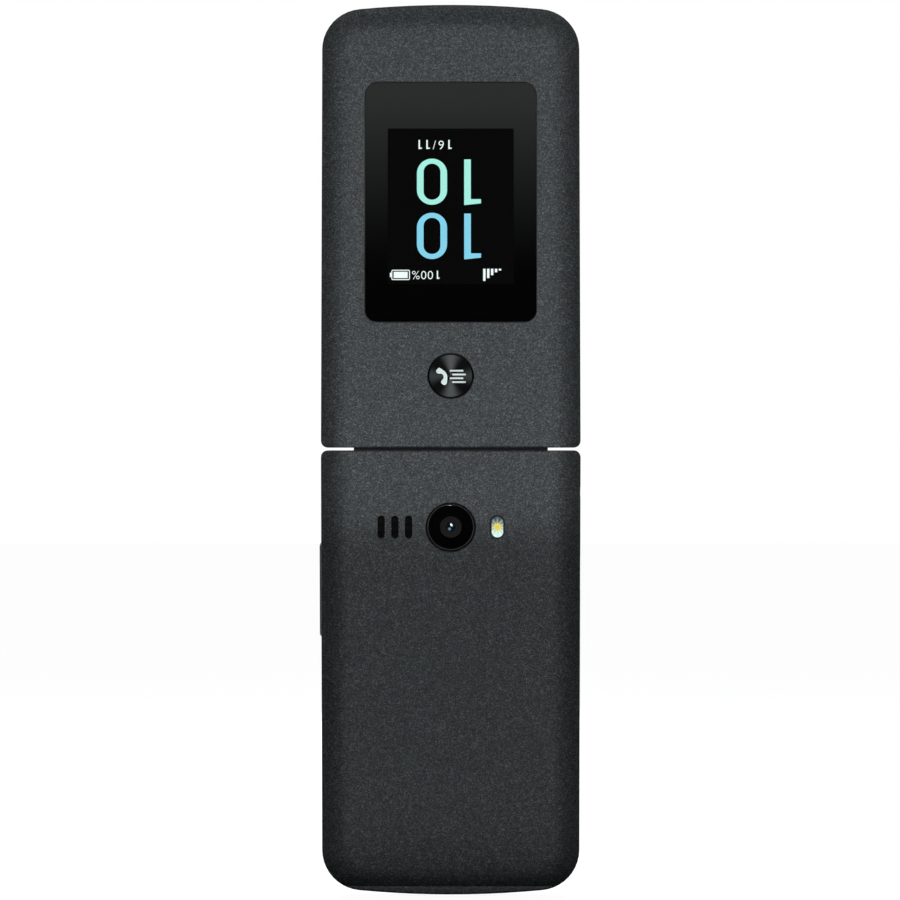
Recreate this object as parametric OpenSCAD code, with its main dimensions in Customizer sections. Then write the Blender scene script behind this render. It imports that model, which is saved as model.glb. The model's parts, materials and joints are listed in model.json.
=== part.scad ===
// Flip phone, opened to its stop and standing on the far end of its base.
//
// Each half is drawn flat in its own frame and then swung into place:
//   x  across the phone
//   u  away from the hinge axis, towards the far end of that half (the second coordinate)
//   z  outwards from the inner face, with the hinge axis on the x axis
// Seen from outside, both halves share +x to the right, so the base is mirrored in u.

/* [Overall] */
// Width of both halves
body_w = 57.4; // [56:0.2:60]
// Distance from the hinge axis to the far end of each half
half_l = 100; // [99.5:0.1:101.5]
// Outer face of the lid above the hinge axis
lid_t = 7.6; // [7.5:0.1:8.4]
// Outer face of the base above the hinge axis
base_t = 9.8; // [9.7:0.1:10.8]
// Angle between the halves when the lid is at its open stop
open_angle = 160; // [156:1:164]
// Gap between each inner face and the hinge axis
face_gap = 0.3; // [0.25:0.05:0.35]
// Gap between the two hinge ends when open
end_gap = 0.6; // [0.5:0.1:0.8]

/* [Casing form] */
// Radius of the shallow arc across each far end
end_radius = 214; // [150:1:260]
// Radius of the far corners
far_corner_r = 9.2; // [9:0.1:10]
// Radius of the corners beside the hinge
near_corner_r = 1.5; // [1:0.1:1.8]
// Width of the rounded border of the outer faces
roll_w = 6.5; // [6:0.1:6.8]
// Height at which the lid's side starts to curve in
lid_wall_z = 4.2; // [4:0.1:4.4]
// Height at which the base's side starts to curve in
base_wall_z = 5.3; // [5:0.1:5.5]
// Radius along the edges of the inner faces
front_edge_r = 0.8; // [0.6:0.1:1]
// Radius along the outer edges beside the hinge
near_edge_r = 0.5; // [0.3:0.1:0.7]
// Side wall of the casings
wall = 1.3; // [1.1:0.1:1.4]
// Thickness of the lid's outer face
lid_roof = 1.6; // [1.5:0.1:1.7]
// Thickness of the battery cover's face
cover_roof = 1.2; // [1.1:0.1:1.3]
// Height of the lid's parting line
lid_seam = 2.9; // [2.8:0.1:3.1]
// Height of the base's parting line
base_seam = 6; // [5.8:0.1:6.2]
// Depth of the groove along each parting line
seam_groove = 0.12; // [0.05:0.01:0.2]
// Thickness of the plate round the main display
frame_face = 1.6; // [1.5:0.1:1.7]
// Thickness of the plate round the keys
keypad_face = 1.2; // [1.1:0.1:1.3]

/* [Hinge] */
// Radius of the hinge barrel
barrel_r = 4; // [3.8:0.1:4.1]
// Clearance between the barrel and the hollow it turns in
cove_gap = 0.3; // [0.25:0.05:0.4]
// Length of the middle knuckle
centre_knuckle_w = 9.3; // [8.5:0.1:10]
// Length of each knuckle of the lid
lid_knuckle_w = 9.3; // [8.5:0.1:10]
// Length of each end knuckle
end_knuckle_w = 7.5; // [7:0.1:8]
// Gap between neighbouring knuckles
knuckle_gap = 0.2; // [0.15:0.05:0.3]
// Radius of the hinge pins
pin_r = 1.5; // [1.3:0.1:1.7]
// Radial clearance of the pins in the parts that turn on them
pin_gap = 0.03; // [0.02:0.01:0.06]
// Radius of the spring cartridge
cartridge_r = 2.6; // [2.4:0.1:2.8]

/* [Outer display] */
// Width of the outer window
window_w = 38.4; // [37:0.2:40]
// Height of the outer window
window_h = 54.7; // [53:0.1:56]
// Corner radius of the outer window
window_corner_r = 2.9; // [2:0.1:4]
// Distance from the hinge axis to the middle of the outer window
window_u = 54.35; // [53.8:0.05:55]
// Thickness of the outer window
window_t = 0.9; // [0.8:0.05:1]
// Width of the lit area of the outer display
lcd_w = 28; // [26:0.1:29]
// Height of the lit area of the outer display
lcd_h = 35; // [33:0.1:36]
// Distance from the hinge axis to the middle of the lit area
lcd_u = 53.6; // [53:0.1:54.5]

/* [Round key] */
// Radius of the round key on the lid
round_key_r = 4.9; // [4.6:0.1:5.1]
// Distance from the hinge axis to the middle of the round key
round_key_u = 15.05; // [14.5:0.05:15.5]
// How far the round key moves in
round_key_travel = 0.35; // [0.2:0.05:0.4]

/* [Main display] */
// Width of the plate beside the main window
main_window_side = 3.5; // [3.2:0.1:4.2]
// Distance from the hinge axis to the main window
main_window_near = 10.7; // [10.5:0.1:11.5]
// Distance from the main window to the far end
main_window_end = 7.7; // [7.5:0.1:8.5]
// Thickness of the main window
main_window_t = 0.9; // [0.8:0.05:1]
// Width of the window's border beside the main display panel
panel_side = 2.2; // [2:0.1:3]
// Height of the main display panel
panel_h = 61.5; // [60:0.5:63]
// Distance from the hinge axis to the middle of the main display panel
panel_u = 50; // [49:0.5:51]
// Length of the earpiece slot
earpiece_l = 12; // [10:0.5:13]
// Distance from the earpiece slot to the far end
earpiece_end = 4.8; // [4.5:0.1:5]

/* [Back of the base] */
// Distance from the hinge axis to the row with camera, flash and loudspeaker slots
camera_u = 15.8; // [15.5:0.1:16]
// Radius of the camera ring
camera_ring_r = 5.5; // [5.3:0.1:5.6]
// Radius of the camera window
camera_window_r = 5; // [4.8:0.1:5.1]
// Distance from the middle line to the flash
flash_x = 10.3; // [10:0.1:10.6]
// Width of the flash lens
flash_w = 3.2; // [3:0.1:3.4]
// Length of the flash lens
flash_l = 5.25; // [5:0.05:5.5]
// Distance from the middle line to the middle loudspeaker slot
slot_x = 12.33; // [12.1:0.01:12.6]
// Number of loudspeaker slots
slot_count = 3; // [1:1:3]
// Distance between loudspeaker slots
slot_pitch = 3.02; // [2.6:0.01:3.1]
// Width of a loudspeaker slot
slot_w = 1.6; // [1.2:0.1:1.8]
// Length of a loudspeaker slot
slot_l = 5.2; // [4.5:0.1:6]
// How far the battery cover lifts off
cover_lift = 12; // [8:1:20]

/* [Side key and sockets] */
// Length of the volume key
volume_l = 21; // [19:0.5:22]
// Width of the volume key
volume_w = 2.6; // [2.2:0.1:2.8]
// How far the volume key stands proud of the side
volume_proud = 0.35; // [0.25:0.05:0.5]
// Distance from the hinge axis to the middle of the volume key
volume_u = 31; // [30.5:0.1:31.5]
// Height of the middle of the volume key
volume_z = 3.4; // [3.2:0.1:3.6]
// Radius of the headphone socket's bore
jack_bore_r = 1.8; // [1.75:0.01:1.85]
// Radius of the headphone socket's nose
jack_nose_r = 2.25; // [2.15:0.05:2.3]
// Length of the headphone socket's bore
jack_depth = 14; // [13:0.5:14.5]
// Distance from the hinge axis to the headphone socket
jack_u = 8.8; // [8.7:0.1:9]
// Height of the headphone socket's axis
jack_z = 3.65; // [3.6:0.05:3.7]
// Width of the charging socket's shell
port_w = 8.4; // [8:0.1:9]
// Height of the charging socket's shell
port_h = 2.6; // [2.4:0.1:2.8]
// Depth of the charging socket
port_depth = 6.4; // [6:0.1:7]
// Distance from the hinge axis to the charging socket
port_u = 27; // [26.5:0.5:28]

/* [Keypad] */
// Distance from the side to the keypad recess
recess_side = 3.2; // [2.7:0.1:3.4]
// Depth of the keypad recess
recess_depth = 0.25; // [0.15:0.05:0.3]
// Nearest edge of the keypad recess to the hinge axis
recess_near = 11; // [10.5:0.5:11.5]
// Distance from the keypad recess to the far end
recess_end = 7; // [6.5:0.5:8]
// How far the keys stand proud of the rim
key_proud = 0.15; // [0.05:0.05:0.2]
// How far a key moves in
key_travel = 0.25; // [0.15:0.05:0.25]
// Clearance round each key
key_gap = 0.15; // [0.12:0.01:0.2]
// Distance from the side to the number keys
number_side = 4.5; // [4.4:0.1:5]
// Distance from the hinge axis to the number keys
number_near = 49.7; // [49.6:0.1:50.4]
// Distance from the number keys to the far end
number_end = 11.1; // [11:0.1:12]
// Gap between the columns of number keys
column_gap = 1.4; // [1.3:0.1:2]
// Gap between the rows of number keys
row_gap = 1.6; // [1.5:0.1:2.2]
// Corner radius of the keys
key_corner_r = 1.6; // [1:0.1:2.5]
// Radius of the navigation ring
nav_r = 9.8; // [9.2:0.1:10]
// Radius of the middle key
ok_r = 4.3; // [4:0.1:4.6]
// Distance from the hinge axis to the middle of the navigation ring
nav_u = 27; // [26.5:0.1:27.5]
// Distance from the side to the side function keys
function_side = 3.9; // [3.8:0.1:4.4]
// Distance from the middle line to the side function keys
function_inner = 11.8; // [11.6:0.1:12.6]
// Height of the side function keys
side_key_h = 7.6; // [7:0.1:8]

/* [Battery] */
// Distance from the side to the battery
battery_side = 5.7; // [5.5:0.1:6.5]
// Distance from the hinge axis to the battery
battery_near = 49; // [48.8:0.1:50]
// Distance from the battery to the far end
battery_end = 11; // [10.8:0.1:12]

/* [Detail] */
// Segments in a far corner of the casings
corner_steps = 10; // [6:1:14]
// Rings in the rounded border of the casings
roll_steps = 10; // [6:1:12]

/* [Hidden] */
$fn = 64;

casing_grey = "#474b4c";
dark_grey = "#2b2e2f";
steel = "#b4b8ba";
board_green = "#1f5a3c";

eps = 0.01;          // overlap that makes a union solid
big = 40;            // reach of a cut that leaves the part
fit = 0.05;          // clearance of a piece laid into its pocket
seat = 0.05;         // gap under a piece that rests on its seat
near_edge_steps = 4;
end_steps = 10;
front_steps = 3;

lean = (180 - open_angle) / 2;

// ---- where the hinge axis lies in the part's frame ----
function lowest(z) = (half_l - roll_inset(z, base_wall_z, base_t)) * cos(lean) + z * sin(lean);
hinge_z = max([for (z = roll_heights(base_wall_z, base_t)) lowest(z)]);
hinge_y = ((base_t + face_gap) * cos(lean) - (half_l + near_end(base_t)) * sin(lean)) / 2;

// ---- casing outline and rings ----
function arc(c, r, a0, a1, n) =
    [for (i = [0:n]) let (a = a0 + (a1 - a0) * i / n) [c[0] + r * cos(a), c[1] + r * sin(a)]];

function rounded_rect(w, h, r, n = 5) = concat(
    arc([w / 2 - r, r - h / 2], r, -90, 0, n), arc([w / 2 - r, h / 2 - r], r, 0, 90, n),
    arc([r - w / 2, h / 2 - r], r, 90, 180, n), arc([r - w / 2, r - h / 2], r, 180, 270, n));

// centres of the far end's arc and of its right corner
end_centre = [0, half_l - end_radius];
corner_centre = [body_w / 2 - far_corner_r, end_centre[1]
    + sqrt(pow(end_radius - far_corner_r, 2) - pow(body_w / 2 - far_corner_r, 2))];
corner_angle = atan2(corner_centre[1] - end_centre[1], corner_centre[0]);

// outline of a half, drawn in by inset at the sides and far end and starting at u = near
function half_outline(inset, near) = let (
    side = body_w / 2 - inset - near_corner_r,
    r = far_corner_r - inset,
    across = arc(end_centre, end_radius - inset, corner_angle, 180 - corner_angle, end_steps))
    concat(
        arc([side, near + near_corner_r], near_corner_r, -90, 0, near_edge_steps),
        arc(corner_centre, r, 0, corner_angle, corner_steps),
        [for (i = [1:end_steps - 1]) across[i]],
        arc([-corner_centre[0], corner_centre[1]], r, 180 - corner_angle, 180, corner_steps),
        arc([-side, near + near_corner_r], near_corner_r, 180, 270, near_edge_steps));

// hinge end of a half: parallel to the other half's end when the phone is open
function near_end(z) = (end_gap / 2 - z * sin(lean)) / cos(lean);

// how far the side has curved in at height z
function roll_inset(z, wall_z, top) =
    z <= wall_z ? 0 : roll_w * (1 - sqrt(max(0, 1 - pow((z - wall_z) / (top - wall_z), 2))));
function roll_heights(wall_z, top) =
    [for (i = [0:roll_steps]) wall_z + (top - wall_z) * sin(90 * i / roll_steps)];
function edge_inset(depth, r) = depth >= r ? 0 : r - sqrt(max(0, r * r - pow(r - depth, 2)));
function front_heights() =
    [for (i = [0:front_steps]) face_gap + front_edge_r * (1 - cos(90 * i / front_steps))];

function outer_ring(z, wall_z, top, groove = 0) = let (
    front = edge_inset(z - face_gap, front_edge_r) + groove)
    [z, half_outline(roll_inset(z, wall_z, top) + front,
        near_end(z) + front + edge_inset(top - z, near_edge_r))];

function front_rings(seam, wall_z, top) = concat(
    [for (z = front_heights()) outer_ring(z, wall_z, top)],
    [for (z = roll_heights(wall_z, top)) if (z < seam - 2 * seam_groove) outer_ring(z, wall_z, top)],
    [outer_ring(seam - seam_groove, wall_z, top), outer_ring(seam, wall_z, top, seam_groove)]);

function back_rings(seam, wall_z, top) = concat(
    [outer_ring(seam, wall_z, top, seam_groove), outer_ring(seam + seam_groove, wall_z, top)],
    [for (z = roll_heights(wall_z, top)) if (z > seam + 2 * seam_groove) outer_ring(z, wall_z, top)]);

// hollow of a casing, or a piece that fills it: inset all round, with its own top
function inner_rings(inset, near, z0, wall_z, top) = concat(
    [[z0, half_outline(inset, near)]],
    [for (z = roll_heights(wall_z, top)) if (z > z0)
        [z, half_outline(inset + roll_inset(z, wall_z, top), near)]]);

// solid through a stack of outlines, each [height, points], lowest first
module loft(rings) {
    n = len(rings[0][1]);
    last = (len(rings) - 1) * n;
    points = [for (ring = rings) for (p = ring[1]) [p[0], p[1], ring[0]]];
    sides = [for (j = [0:len(rings) - 2]) for (i = [0:n - 1])
        let (a = j * n + i, b = j * n + (i + 1) % n) each [[a, a + n, b + n], [a, b + n, b]]];
    polyhedron(points, concat([[for (i = [0:n - 1]) i]], sides,
        [[for (i = [n - 1:-1:0]) last + i]]), convexity = 6);
}

// plate with rounded corners, centred on x and u, from z0 to z1
module plate(w, h, r, x, u, z0, z1)
    translate([x, u, z0]) linear_extrude(z1 - z0) polygon(rounded_rect(w, h, r));
module post(r, x, u, z0, z1) translate([x, u, z0]) cylinder(h = z1 - z0, r = r);
module along_x(r, x0, x1) translate([x0, 0, 0]) rotate([0, 90, 0]) cylinder(h = x1 - x0, r = r);
module both_sides() { children(); mirror([1, 0, 0]) children(); }
// slot with round ends, lying across the phone, or along it if tall
module obround(l, w, x, u, z0, z1, tall = false)
    translate([x, u, z0]) rotate([0, 0, tall ? 90 : 0])
        linear_extrude(z1 - z0) polygon(rounded_rect(l, w, w / 2 - eps, 8));

module lid() translate([0, hinge_y, hinge_z]) rotate([90 - lean, 0, 0]) children();
module base() translate([0, hinge_y, hinge_z]) rotate([90 + lean, 0, 0])
    mirror([0, 1, 0]) children();

// ---- hinge ----
cove_r = barrel_r + cove_gap;
cavity_near = cove_r + wall;          // the hollow of each casing starts here
knuckle_1 = centre_knuckle_w / 2;     // edges of the knuckles, from the middle outwards
knuckle_2 = knuckle_1 + lid_knuckle_w;
knuckle_3 = knuckle_2 + end_knuckle_w;
half_gap = knuckle_gap / 2;
cap_t = 0.8;
cap_r = barrel_r - 0.85;
pin_end = knuckle_3 - cap_t - 0.15;
bore_fit = 0.02;                      // radial clearance of a part held fast in a bore
flex_w = 7.6;
flex_r = 2.8;
flex_t = 0.2;
flex_end_u = 9.5;

module barrel_hollow(x0, x1) along_x(cove_r, x0, x1);
module lid_knuckles() both_sides() along_x(barrel_r, knuckle_1 + half_gap, knuckle_2 - half_gap);
module base_knuckles() {
    along_x(barrel_r, half_gap - knuckle_1, knuckle_1 - half_gap);
    both_sides() along_x(barrel_r, knuckle_2 + half_gap, knuckle_3);
}

module hinge_cartridge() lid() color(steel) difference() {
    along_x(cartridge_r, half_gap - knuckle_2, -knuckle_1 - half_gap);
    along_x(pin_r + pin_gap, -knuckle_3, 0);
}
module hinge_shafts() base() color(steel) both_sides()
    along_x(pin_r, knuckle_1 + knuckle_gap, pin_end);
module hinge_end_caps() base() color(dark_grey) both_sides()
    along_x(cap_r - bore_fit, knuckle_3 - cap_t, knuckle_3);
// ribbon that joins the two boards, wound once inside the middle knuckle
module hinge_flex() base() color("#a85b1e")
    translate([-flex_w / 2, 0, 0]) rotate([90, 0, 90]) linear_extrude(flex_w)
        polygon(concat([[flex_end_u, flex_r - flex_t], [flex_end_u, flex_r]],
            arc([0, 0], flex_r, 90, 300, 21), arc([0, 0], flex_r - flex_t, 300, 90, 21)));

// ---- lid ----
lid_inner_top = lid_t - lid_roof;
window_z = lid_t - window_t - seat;              // seat of the outer window
outer_panel_z = 5;
outer_panel_w = lcd_w + 5.4;
outer_panel_h = lcd_h + 8;
panel_corner_r = 0.8;
outer_panel_shift = -1;                          // the panel's connector edge faces the hinge
ledge_gap = 0.3;                                 // round the panel, in the opening behind the window
ledge_spare = 3.4;                               // room beyond the panel's far edge
ledge_w = outer_panel_w + 2 * ledge_gap;
ledge_h = outer_panel_h + 2 * ledge_gap + ledge_spare;
ledge_u = lcd_u + outer_panel_shift + ledge_spare / 2;
main_window_w = body_w - 2 * main_window_side;
main_window_h = half_l - main_window_end - main_window_near;
main_window_u = main_window_near + main_window_h / 2;
panel_w = main_window_w - 2 * panel_side;
main_window_z = face_gap + seat + main_window_t; // seat of the main window
panel_z = main_window_z + seat;
panel_t = 1.8;
lid_plate_z = panel_z + panel_t + seat;
lid_plate_t = 0.4;
lid_plate_w = body_w - 2 * (wall + 1.4);
lid_plate_near = 10.5;
lid_plate_l = half_l - 12.5 - lid_plate_near;
lid_plate_slot = [30, 6];
lid_board_z = lid_plate_z + lid_plate_t + seat;
board_t = 0.8;
board_margin = 3.2;                              // from the casing's side to a board's edge
board_near = 7;
lid_boss_r = 2;
earpiece_u = half_l - earpiece_end;
lid_screws_at = [[body_w / 2 - 4.5, 7.1], [body_w / 2 - 7.1, earpiece_u]];
lid_screw_r = 0.7;
screw_head_r = 1.5;
lid_head_z = face_gap + 0.75;
bumper_r = 2;
bumper_proud = face_gap + 0.25;                  // leaves 0.05 when the phone is shut
receiver_z = 1.75;
receiver_w = 12;
receiver_l = 5.4;
receiver_u = half_l - wall - 0.4 - receiver_l / 2;

module at_lid_screws() both_sides() for (p = lid_screws_at) translate([p[0], p[1], 0]) children();

module lid_outer_cover() lid() color(casing_grey) difference() {
    union() {
        difference() {
            loft(back_rings(lid_seam, lid_wall_z, lid_t));
            loft(inner_rings(wall, cavity_near, lid_seam - 1, lid_wall_z, lid_inner_top));
        }
        at_lid_screws() post(lid_boss_r, 0, 0, lid_seam, lid_inner_top + 0.1);
    }
    barrel_hollow(-knuckle_3 - knuckle_gap, knuckle_3 + knuckle_gap);
    plate(window_w, window_h, window_corner_r, 0, window_u, window_z, big);
    plate(ledge_w, ledge_h, panel_corner_r, 0, ledge_u, lid_seam, big);
    post(round_key_r + 0.3, 0, round_key_u, lid_seam, big);
    at_lid_screws() post(lid_screw_r + bore_fit, 0, 0, 0, lid_inner_top - 0.5);
}

module lid_front_frame() lid() color(dark_grey) difference() {
    union() {
        difference() {
            union() {
                difference() {
                    loft(front_rings(lid_seam, lid_wall_z, lid_t));
                    loft([for (z = [face_gap + frame_face, big])
                        [z, half_outline(wall, cavity_near)]]);
                }
                at_lid_screws() post(bumper_r + 0.6, 0, 0, face_gap + 0.1, lid_seam);
            }
            barrel_hollow(-knuckle_1 - half_gap, knuckle_1 + half_gap);
            both_sides() barrel_hollow(knuckle_2 - half_gap, knuckle_3 + knuckle_gap);
        }
        lid_knuckles();
    }
    along_x(cartridge_r + bore_fit, -knuckle_2 - 1, 0);
    along_x(pin_r + pin_gap, 0, knuckle_2 + 1);
    plate(main_window_w + 2 * fit, main_window_h + 2 * fit, 3.5, 0, main_window_u,
        -1, main_window_z);
    plate(panel_w + 0.4, panel_h + 0.4, 1, 0, panel_u, 0, lid_seam + 1);
    obround(earpiece_l + 0.2, 1.8, 0, earpiece_u, 0, face_gap + 0.5);
    obround(earpiece_l - 0.8, 1, 0, earpiece_u, 0, lid_seam);
    plate(receiver_w + 0.4, receiver_l + 0.4, 0.5, 0, receiver_u, receiver_z - seat, lid_seam + 1);
    at_lid_screws() {
        post(bumper_r + fit, 0, 0, -1, lid_head_z);
        post(screw_head_r + fit, 0, 0, -1, lid_head_z + 0.6);
        post(lid_screw_r + 0.1, 0, 0, 0, lid_seam + 1);
    }
}

module outer_display_window() lid() color("#0c0d0e")
    plate(window_w - 2 * fit, window_h - 2 * fit, window_corner_r - fit, 0, window_u,
        window_z, lid_t - seat);
module outer_display_panel() lid() color("black")
    plate(outer_panel_w, outer_panel_h, panel_corner_r, 0, lcd_u + outer_panel_shift,
        outer_panel_z, window_z - seat);
module main_display_window() lid() color("#0c0d0e")
    plate(main_window_w, main_window_h, 3.4, 0, main_window_u, face_gap + seat, main_window_z);
module main_display_panel() lid() color("black")
    plate(panel_w, panel_h, panel_corner_r, 0, panel_u, panel_z, panel_z + panel_t);
module display_chassis() lid() color(steel) difference() {
    plate(lid_plate_w, lid_plate_l, 2, 0, lid_plate_near + lid_plate_l / 2, lid_plate_z,
        lid_plate_z + lid_plate_t);
    for (u = [0.15, 0.875]) plate(lid_plate_slot[0], lid_plate_slot[1], 1, 0,
        lid_plate_near + u * lid_plate_l, 0, big);
    at_lid_screws() post(bumper_r + 0.9, 0, 0, 0, big);
}
module lid_circuit_board() lid() color(board_green) {
    difference() {
        translate([0, 0, lid_board_z]) linear_extrude(board_t)
            polygon(half_outline(board_margin, board_near));
        at_lid_screws() post(lid_boss_r + 0.6, 0, 0, 0, big);
        plate(18, 8, 1, 0, 60, 0, big);
    }
    top = lid_board_z + board_t - eps;
    post(2.2, 0, round_key_u, top, top + 0.15);
    plate(9, 3, 0.3, -15, 22, top, top + 1);
    plate(5, 5, 0.3, 16, 20, top, top + 0.9);
    plate(6, 4, 0.3, 14, half_l - 14, top, top + 0.9);
}
module earpiece_receiver() lid() color(steel) {
    plate(receiver_w, receiver_l, 1, 0, receiver_u, receiver_z, receiver_z + 1.2);
    plate(receiver_w - 2, receiver_l - 1.6, 1, 0, receiver_u, receiver_z + 1, receiver_z + 1.75);
}
module earpiece_mesh() lid() color("#1a1b1c") difference() {
    obround(earpiece_l, 1.6, 0, earpiece_u, face_gap + 0.25, face_gap + 0.5 - bore_fit);
    for (i = [-9:9], j = [-0.5, 0.5])
        post(0.17, i * 0.55, earpiece_u + j * 0.6, 0, 2);
}
module lid_magnet() lid() color(steel)
    plate(5, 3, 0.4, -15, half_l - 8, face_gap + frame_face, face_gap + frame_face + 1.2);
module lid_bumpers() lid() color("#181919") at_lid_screws()
    rotate_extrude() polygon([[0, face_gap - bumper_proud], [bumper_r - 0.3, face_gap - bumper_proud],
        [bumper_r, face_gap - bumper_proud + 0.3], [bumper_r, lid_head_z - seat],
        [0, lid_head_z - seat]]);
module lid_screws() lid() color(steel) at_lid_screws() difference() {
    union() {
        post(screw_head_r, 0, 0, lid_head_z, lid_head_z + 0.6);
        post(lid_screw_r, 0, 0, lid_head_z + 0.5, lid_inner_top - 0.8);
    }
    rotate([0, 0, 45]) for (a = [0, 90]) rotate([0, 0, a])
        translate([-0.8, -0.15, 0]) cube([1.6, 0.3, lid_head_z + 0.35]);
}
module call_list_key() lid() color("#141516") {
    top = lid_t - 0.06;
    skirt = lid_t - 0.45;
    inner = lid_inner_top - 0.15;
    translate([0, round_key_u, 0]) rotate_extrude() polygon([
        [0, top], [0, inner - 0.9], [1.2, inner - 0.9], [1.2, inner - 0.4],
        [round_key_r + 0.9, inner - 0.4], [round_key_r + 0.9, inner], [round_key_r + 0.15, inner],
        [round_key_r + 0.15, skirt], [round_key_r, skirt], [round_key_r, top - 0.12],
        [round_key_r - 0.12, top]]);
}

// ---- base ----
cover_inner_top = base_t - cover_roof;
face_in = face_gap + keypad_face;                // inside of the keypad face
flange_z = face_in + seat;                       // key flanges lie under the face
flange_t = 0.4;
stem_z = flange_z + flange_t + 0.25;
dome_z = stem_z + key_travel + 0.05;
dome_h = 0.1;
sheet_t = 0.15;
board_z = dome_z + dome_h + sheet_t + seat;
board_top = board_z + board_t;
chassis_gap = 0.3;                               // between the rear housing and the casings
deck_top = cover_inner_top - 0.2;
deck_t = 1.2;
deck_z = deck_top - deck_t;
rear_z = board_top + 0.1;
bay_floor = rear_z + 0.5;
bay_gap = 0.15;
boss_r = 2;
boss_z = board_top + 0.4;                        // where posts and bosses meet
base_screw_r = 0.75;
jack_in = body_w / 2 - jack_depth - 1.2;
jack_body_w = 5.5;
screw_x = body_w / 2 - 6.7;
end_screw_x = screw_x - 5;
base_screws_at = [[-screw_x, 11.2], [jack_in - 3.9, 10.95], [-screw_x, battery_near - 3],
    [screw_x, battery_near - 3], [-end_screw_x, half_l - 7.2], [end_screw_x, half_l - 7.2]];
speaker_w = 13;
speaker_l = 10.5;
speaker_x = -12.9;
motor_r = 1.65;
motor_l = 11;
motor_u = half_l - 5.8;
motor_at = [-6, motor_u, rear_z + motor_r + 0.05];
mic_at = [7, half_l - 4];
contact_x = 8;
contact_u = battery_near - 3;
sim_at = [12.5, 37.7];
sim_size = [15, 13];
shield_at = [-11.5, 34.5];
shield_size = [21, 19];
shield_t = 0.3;
dome_sheet_w = body_w - 9.4;
dome_sheet_near = 13;
dome_sheet_l = half_l - 9 - dome_sheet_near;

module at_base_screws() for (p = base_screws_at) translate([p[0], p[1], 0]) children();

battery_w = body_w - 2 * battery_side;
battery_l = half_l - battery_end - battery_near;
battery_u = battery_near + battery_l / 2;

// every key: [x, u, width, height]; number keys run 1 2 3 from the user's left, which is +x
key_w = (body_w - 2 * number_side - 2 * column_gap) / 3;
key_pitch_x = key_w + column_gap;
key_pitch_u = (half_l - number_end - number_near + row_gap) / 4;
key_h = key_pitch_u - row_gap;
first_row_u = number_near + key_h / 2;
side_key_w = body_w / 2 - function_side - function_inner;
side_key_x = function_inner + side_key_w / 2;
recess_w = body_w - 2 * recess_side;
recess_far = half_l - recess_end;
function number_key(i) = [(1 - (i % 3)) * key_pitch_x, first_row_u + floor(i / 3) * key_pitch_u,
    key_w, key_h];
left_soft = [side_key_x, 18, side_key_w, side_key_h];
right_soft = [-side_key_x, 18, side_key_w, side_key_h];
call_at = [side_key_x, 37, side_key_w, side_key_h];
end_at = [-side_key_x, 37, side_key_w, side_key_h];
clear_at = [0, 42.6, side_key_w, side_key_h - 1.4];
flat_keys = concat([left_soft, right_soft, call_at, end_at, clear_at],
    [for (i = [0:11]) number_key(i)]);
pad_tilt_gap = 0.35;
pad_z = face_in + 0.4;
pad_t = 0.3;
ring_hole_r = ok_r + 0.2;

module key(k, c) base() color(c) {
    top = face_gap - key_proud;
    translate([k[0], k[1], 0]) loft([for (s = [[top, 0.4], [top + 0.08, 0.15], [top + 0.28, 0],
        [flange_z + flange_t, 0]])
        [s[0], rounded_rect(k[2] - 2 * s[1], k[3] - 2 * s[1], key_corner_r - s[1])]]);
    plate(k[2] + 1, k[3] + 1, key_corner_r, k[0], k[1], flange_z, flange_z + flange_t);
    post(1.3, k[0], k[1], flange_z + flange_t - eps, stem_z);
}

module base_front_housing() base() color(dark_grey) difference() {
    union() {
        difference() {
            union() {
                difference() {
                    loft(front_rings(base_seam, base_wall_z, base_t));
                    loft([for (z = [face_in, big]) [z, half_outline(wall, cavity_near)]]);
                }
                at_base_screws() post(boss_r, 0, 0, face_gap + 0.6, boss_z);
            }
            both_sides() barrel_hollow(knuckle_1 - half_gap, knuckle_2 + half_gap);
        }
        base_knuckles();
    }
    // pins, end caps and the ribbon's way through the middle knuckle
    both_sides() {
        along_x(pin_r + bore_fit, knuckle_2 - 1, knuckle_3 + 1);
        along_x(cap_r, knuckle_3 - cap_t, knuckle_3 + 0.5);
    }
    along_x(flex_r + 0.2, -flex_w / 2 - 0.2, flex_w / 2 + 0.2);
    plate(flex_w + 0.4, cavity_near, 0.1, 0, cavity_near / 2 + 0.2, flex_r - flex_t - 0.2,
        flex_r + 0.2);
    // keypad recess and key openings
    plate(recess_w, recess_far - recess_near, 3, 0, (recess_near + recess_far) / 2,
        -1, face_gap + recess_depth);
    for (k = flat_keys) plate(k[2] + 2 * key_gap, k[3] + 2 * key_gap, key_corner_r + key_gap,
        k[0], k[1], -1, face_in + 1);
    post(nav_r + key_gap + 0.05, 0, nav_u, -1, face_in + 1);
    post(0.5, mic_at[0], mic_at[1], -1, big);
    at_base_screws() post(base_screw_r + bore_fit, 0, 0, face_gap + 1.2, big);
    // side openings
    translate([-big, volume_u - volume_l / 2 - key_gap, volume_z - volume_w / 2 - key_gap])
        cube([big - 10, volume_l + 2 * key_gap, volume_w + 2 * key_gap]);
    translate([0, jack_u, jack_z]) along_x(jack_nose_r + fit, 20, big);
    translate([20, port_u, port_mid_z]) rotate([90, 0, 90]) linear_extrude(big)
        polygon(rounded_rect(port_w + 0.3, port_h + 0.3, 1.3));
}
port_mid_z = board_z + port_h / 2 + 0.1;

module battery_cover() base() color(casing_grey) difference() {
    loft(back_rings(base_seam, base_wall_z, base_t));
    loft(inner_rings(wall, cavity_near, base_seam - 1, base_wall_z, cover_inner_top));
    post(camera_ring_r + fit, 0, camera_u, base_seam, big);
    obround(flash_l + 2 * fit, flash_w + 2 * fit, flash_x, camera_u, base_seam, big, true);
    for (i = [0:slot_count - 1])
        obround(slot_l, slot_w, -slot_x + (i - (slot_count - 1) / 2) * slot_pitch, camera_u,
            base_seam, big, true);
}

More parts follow.
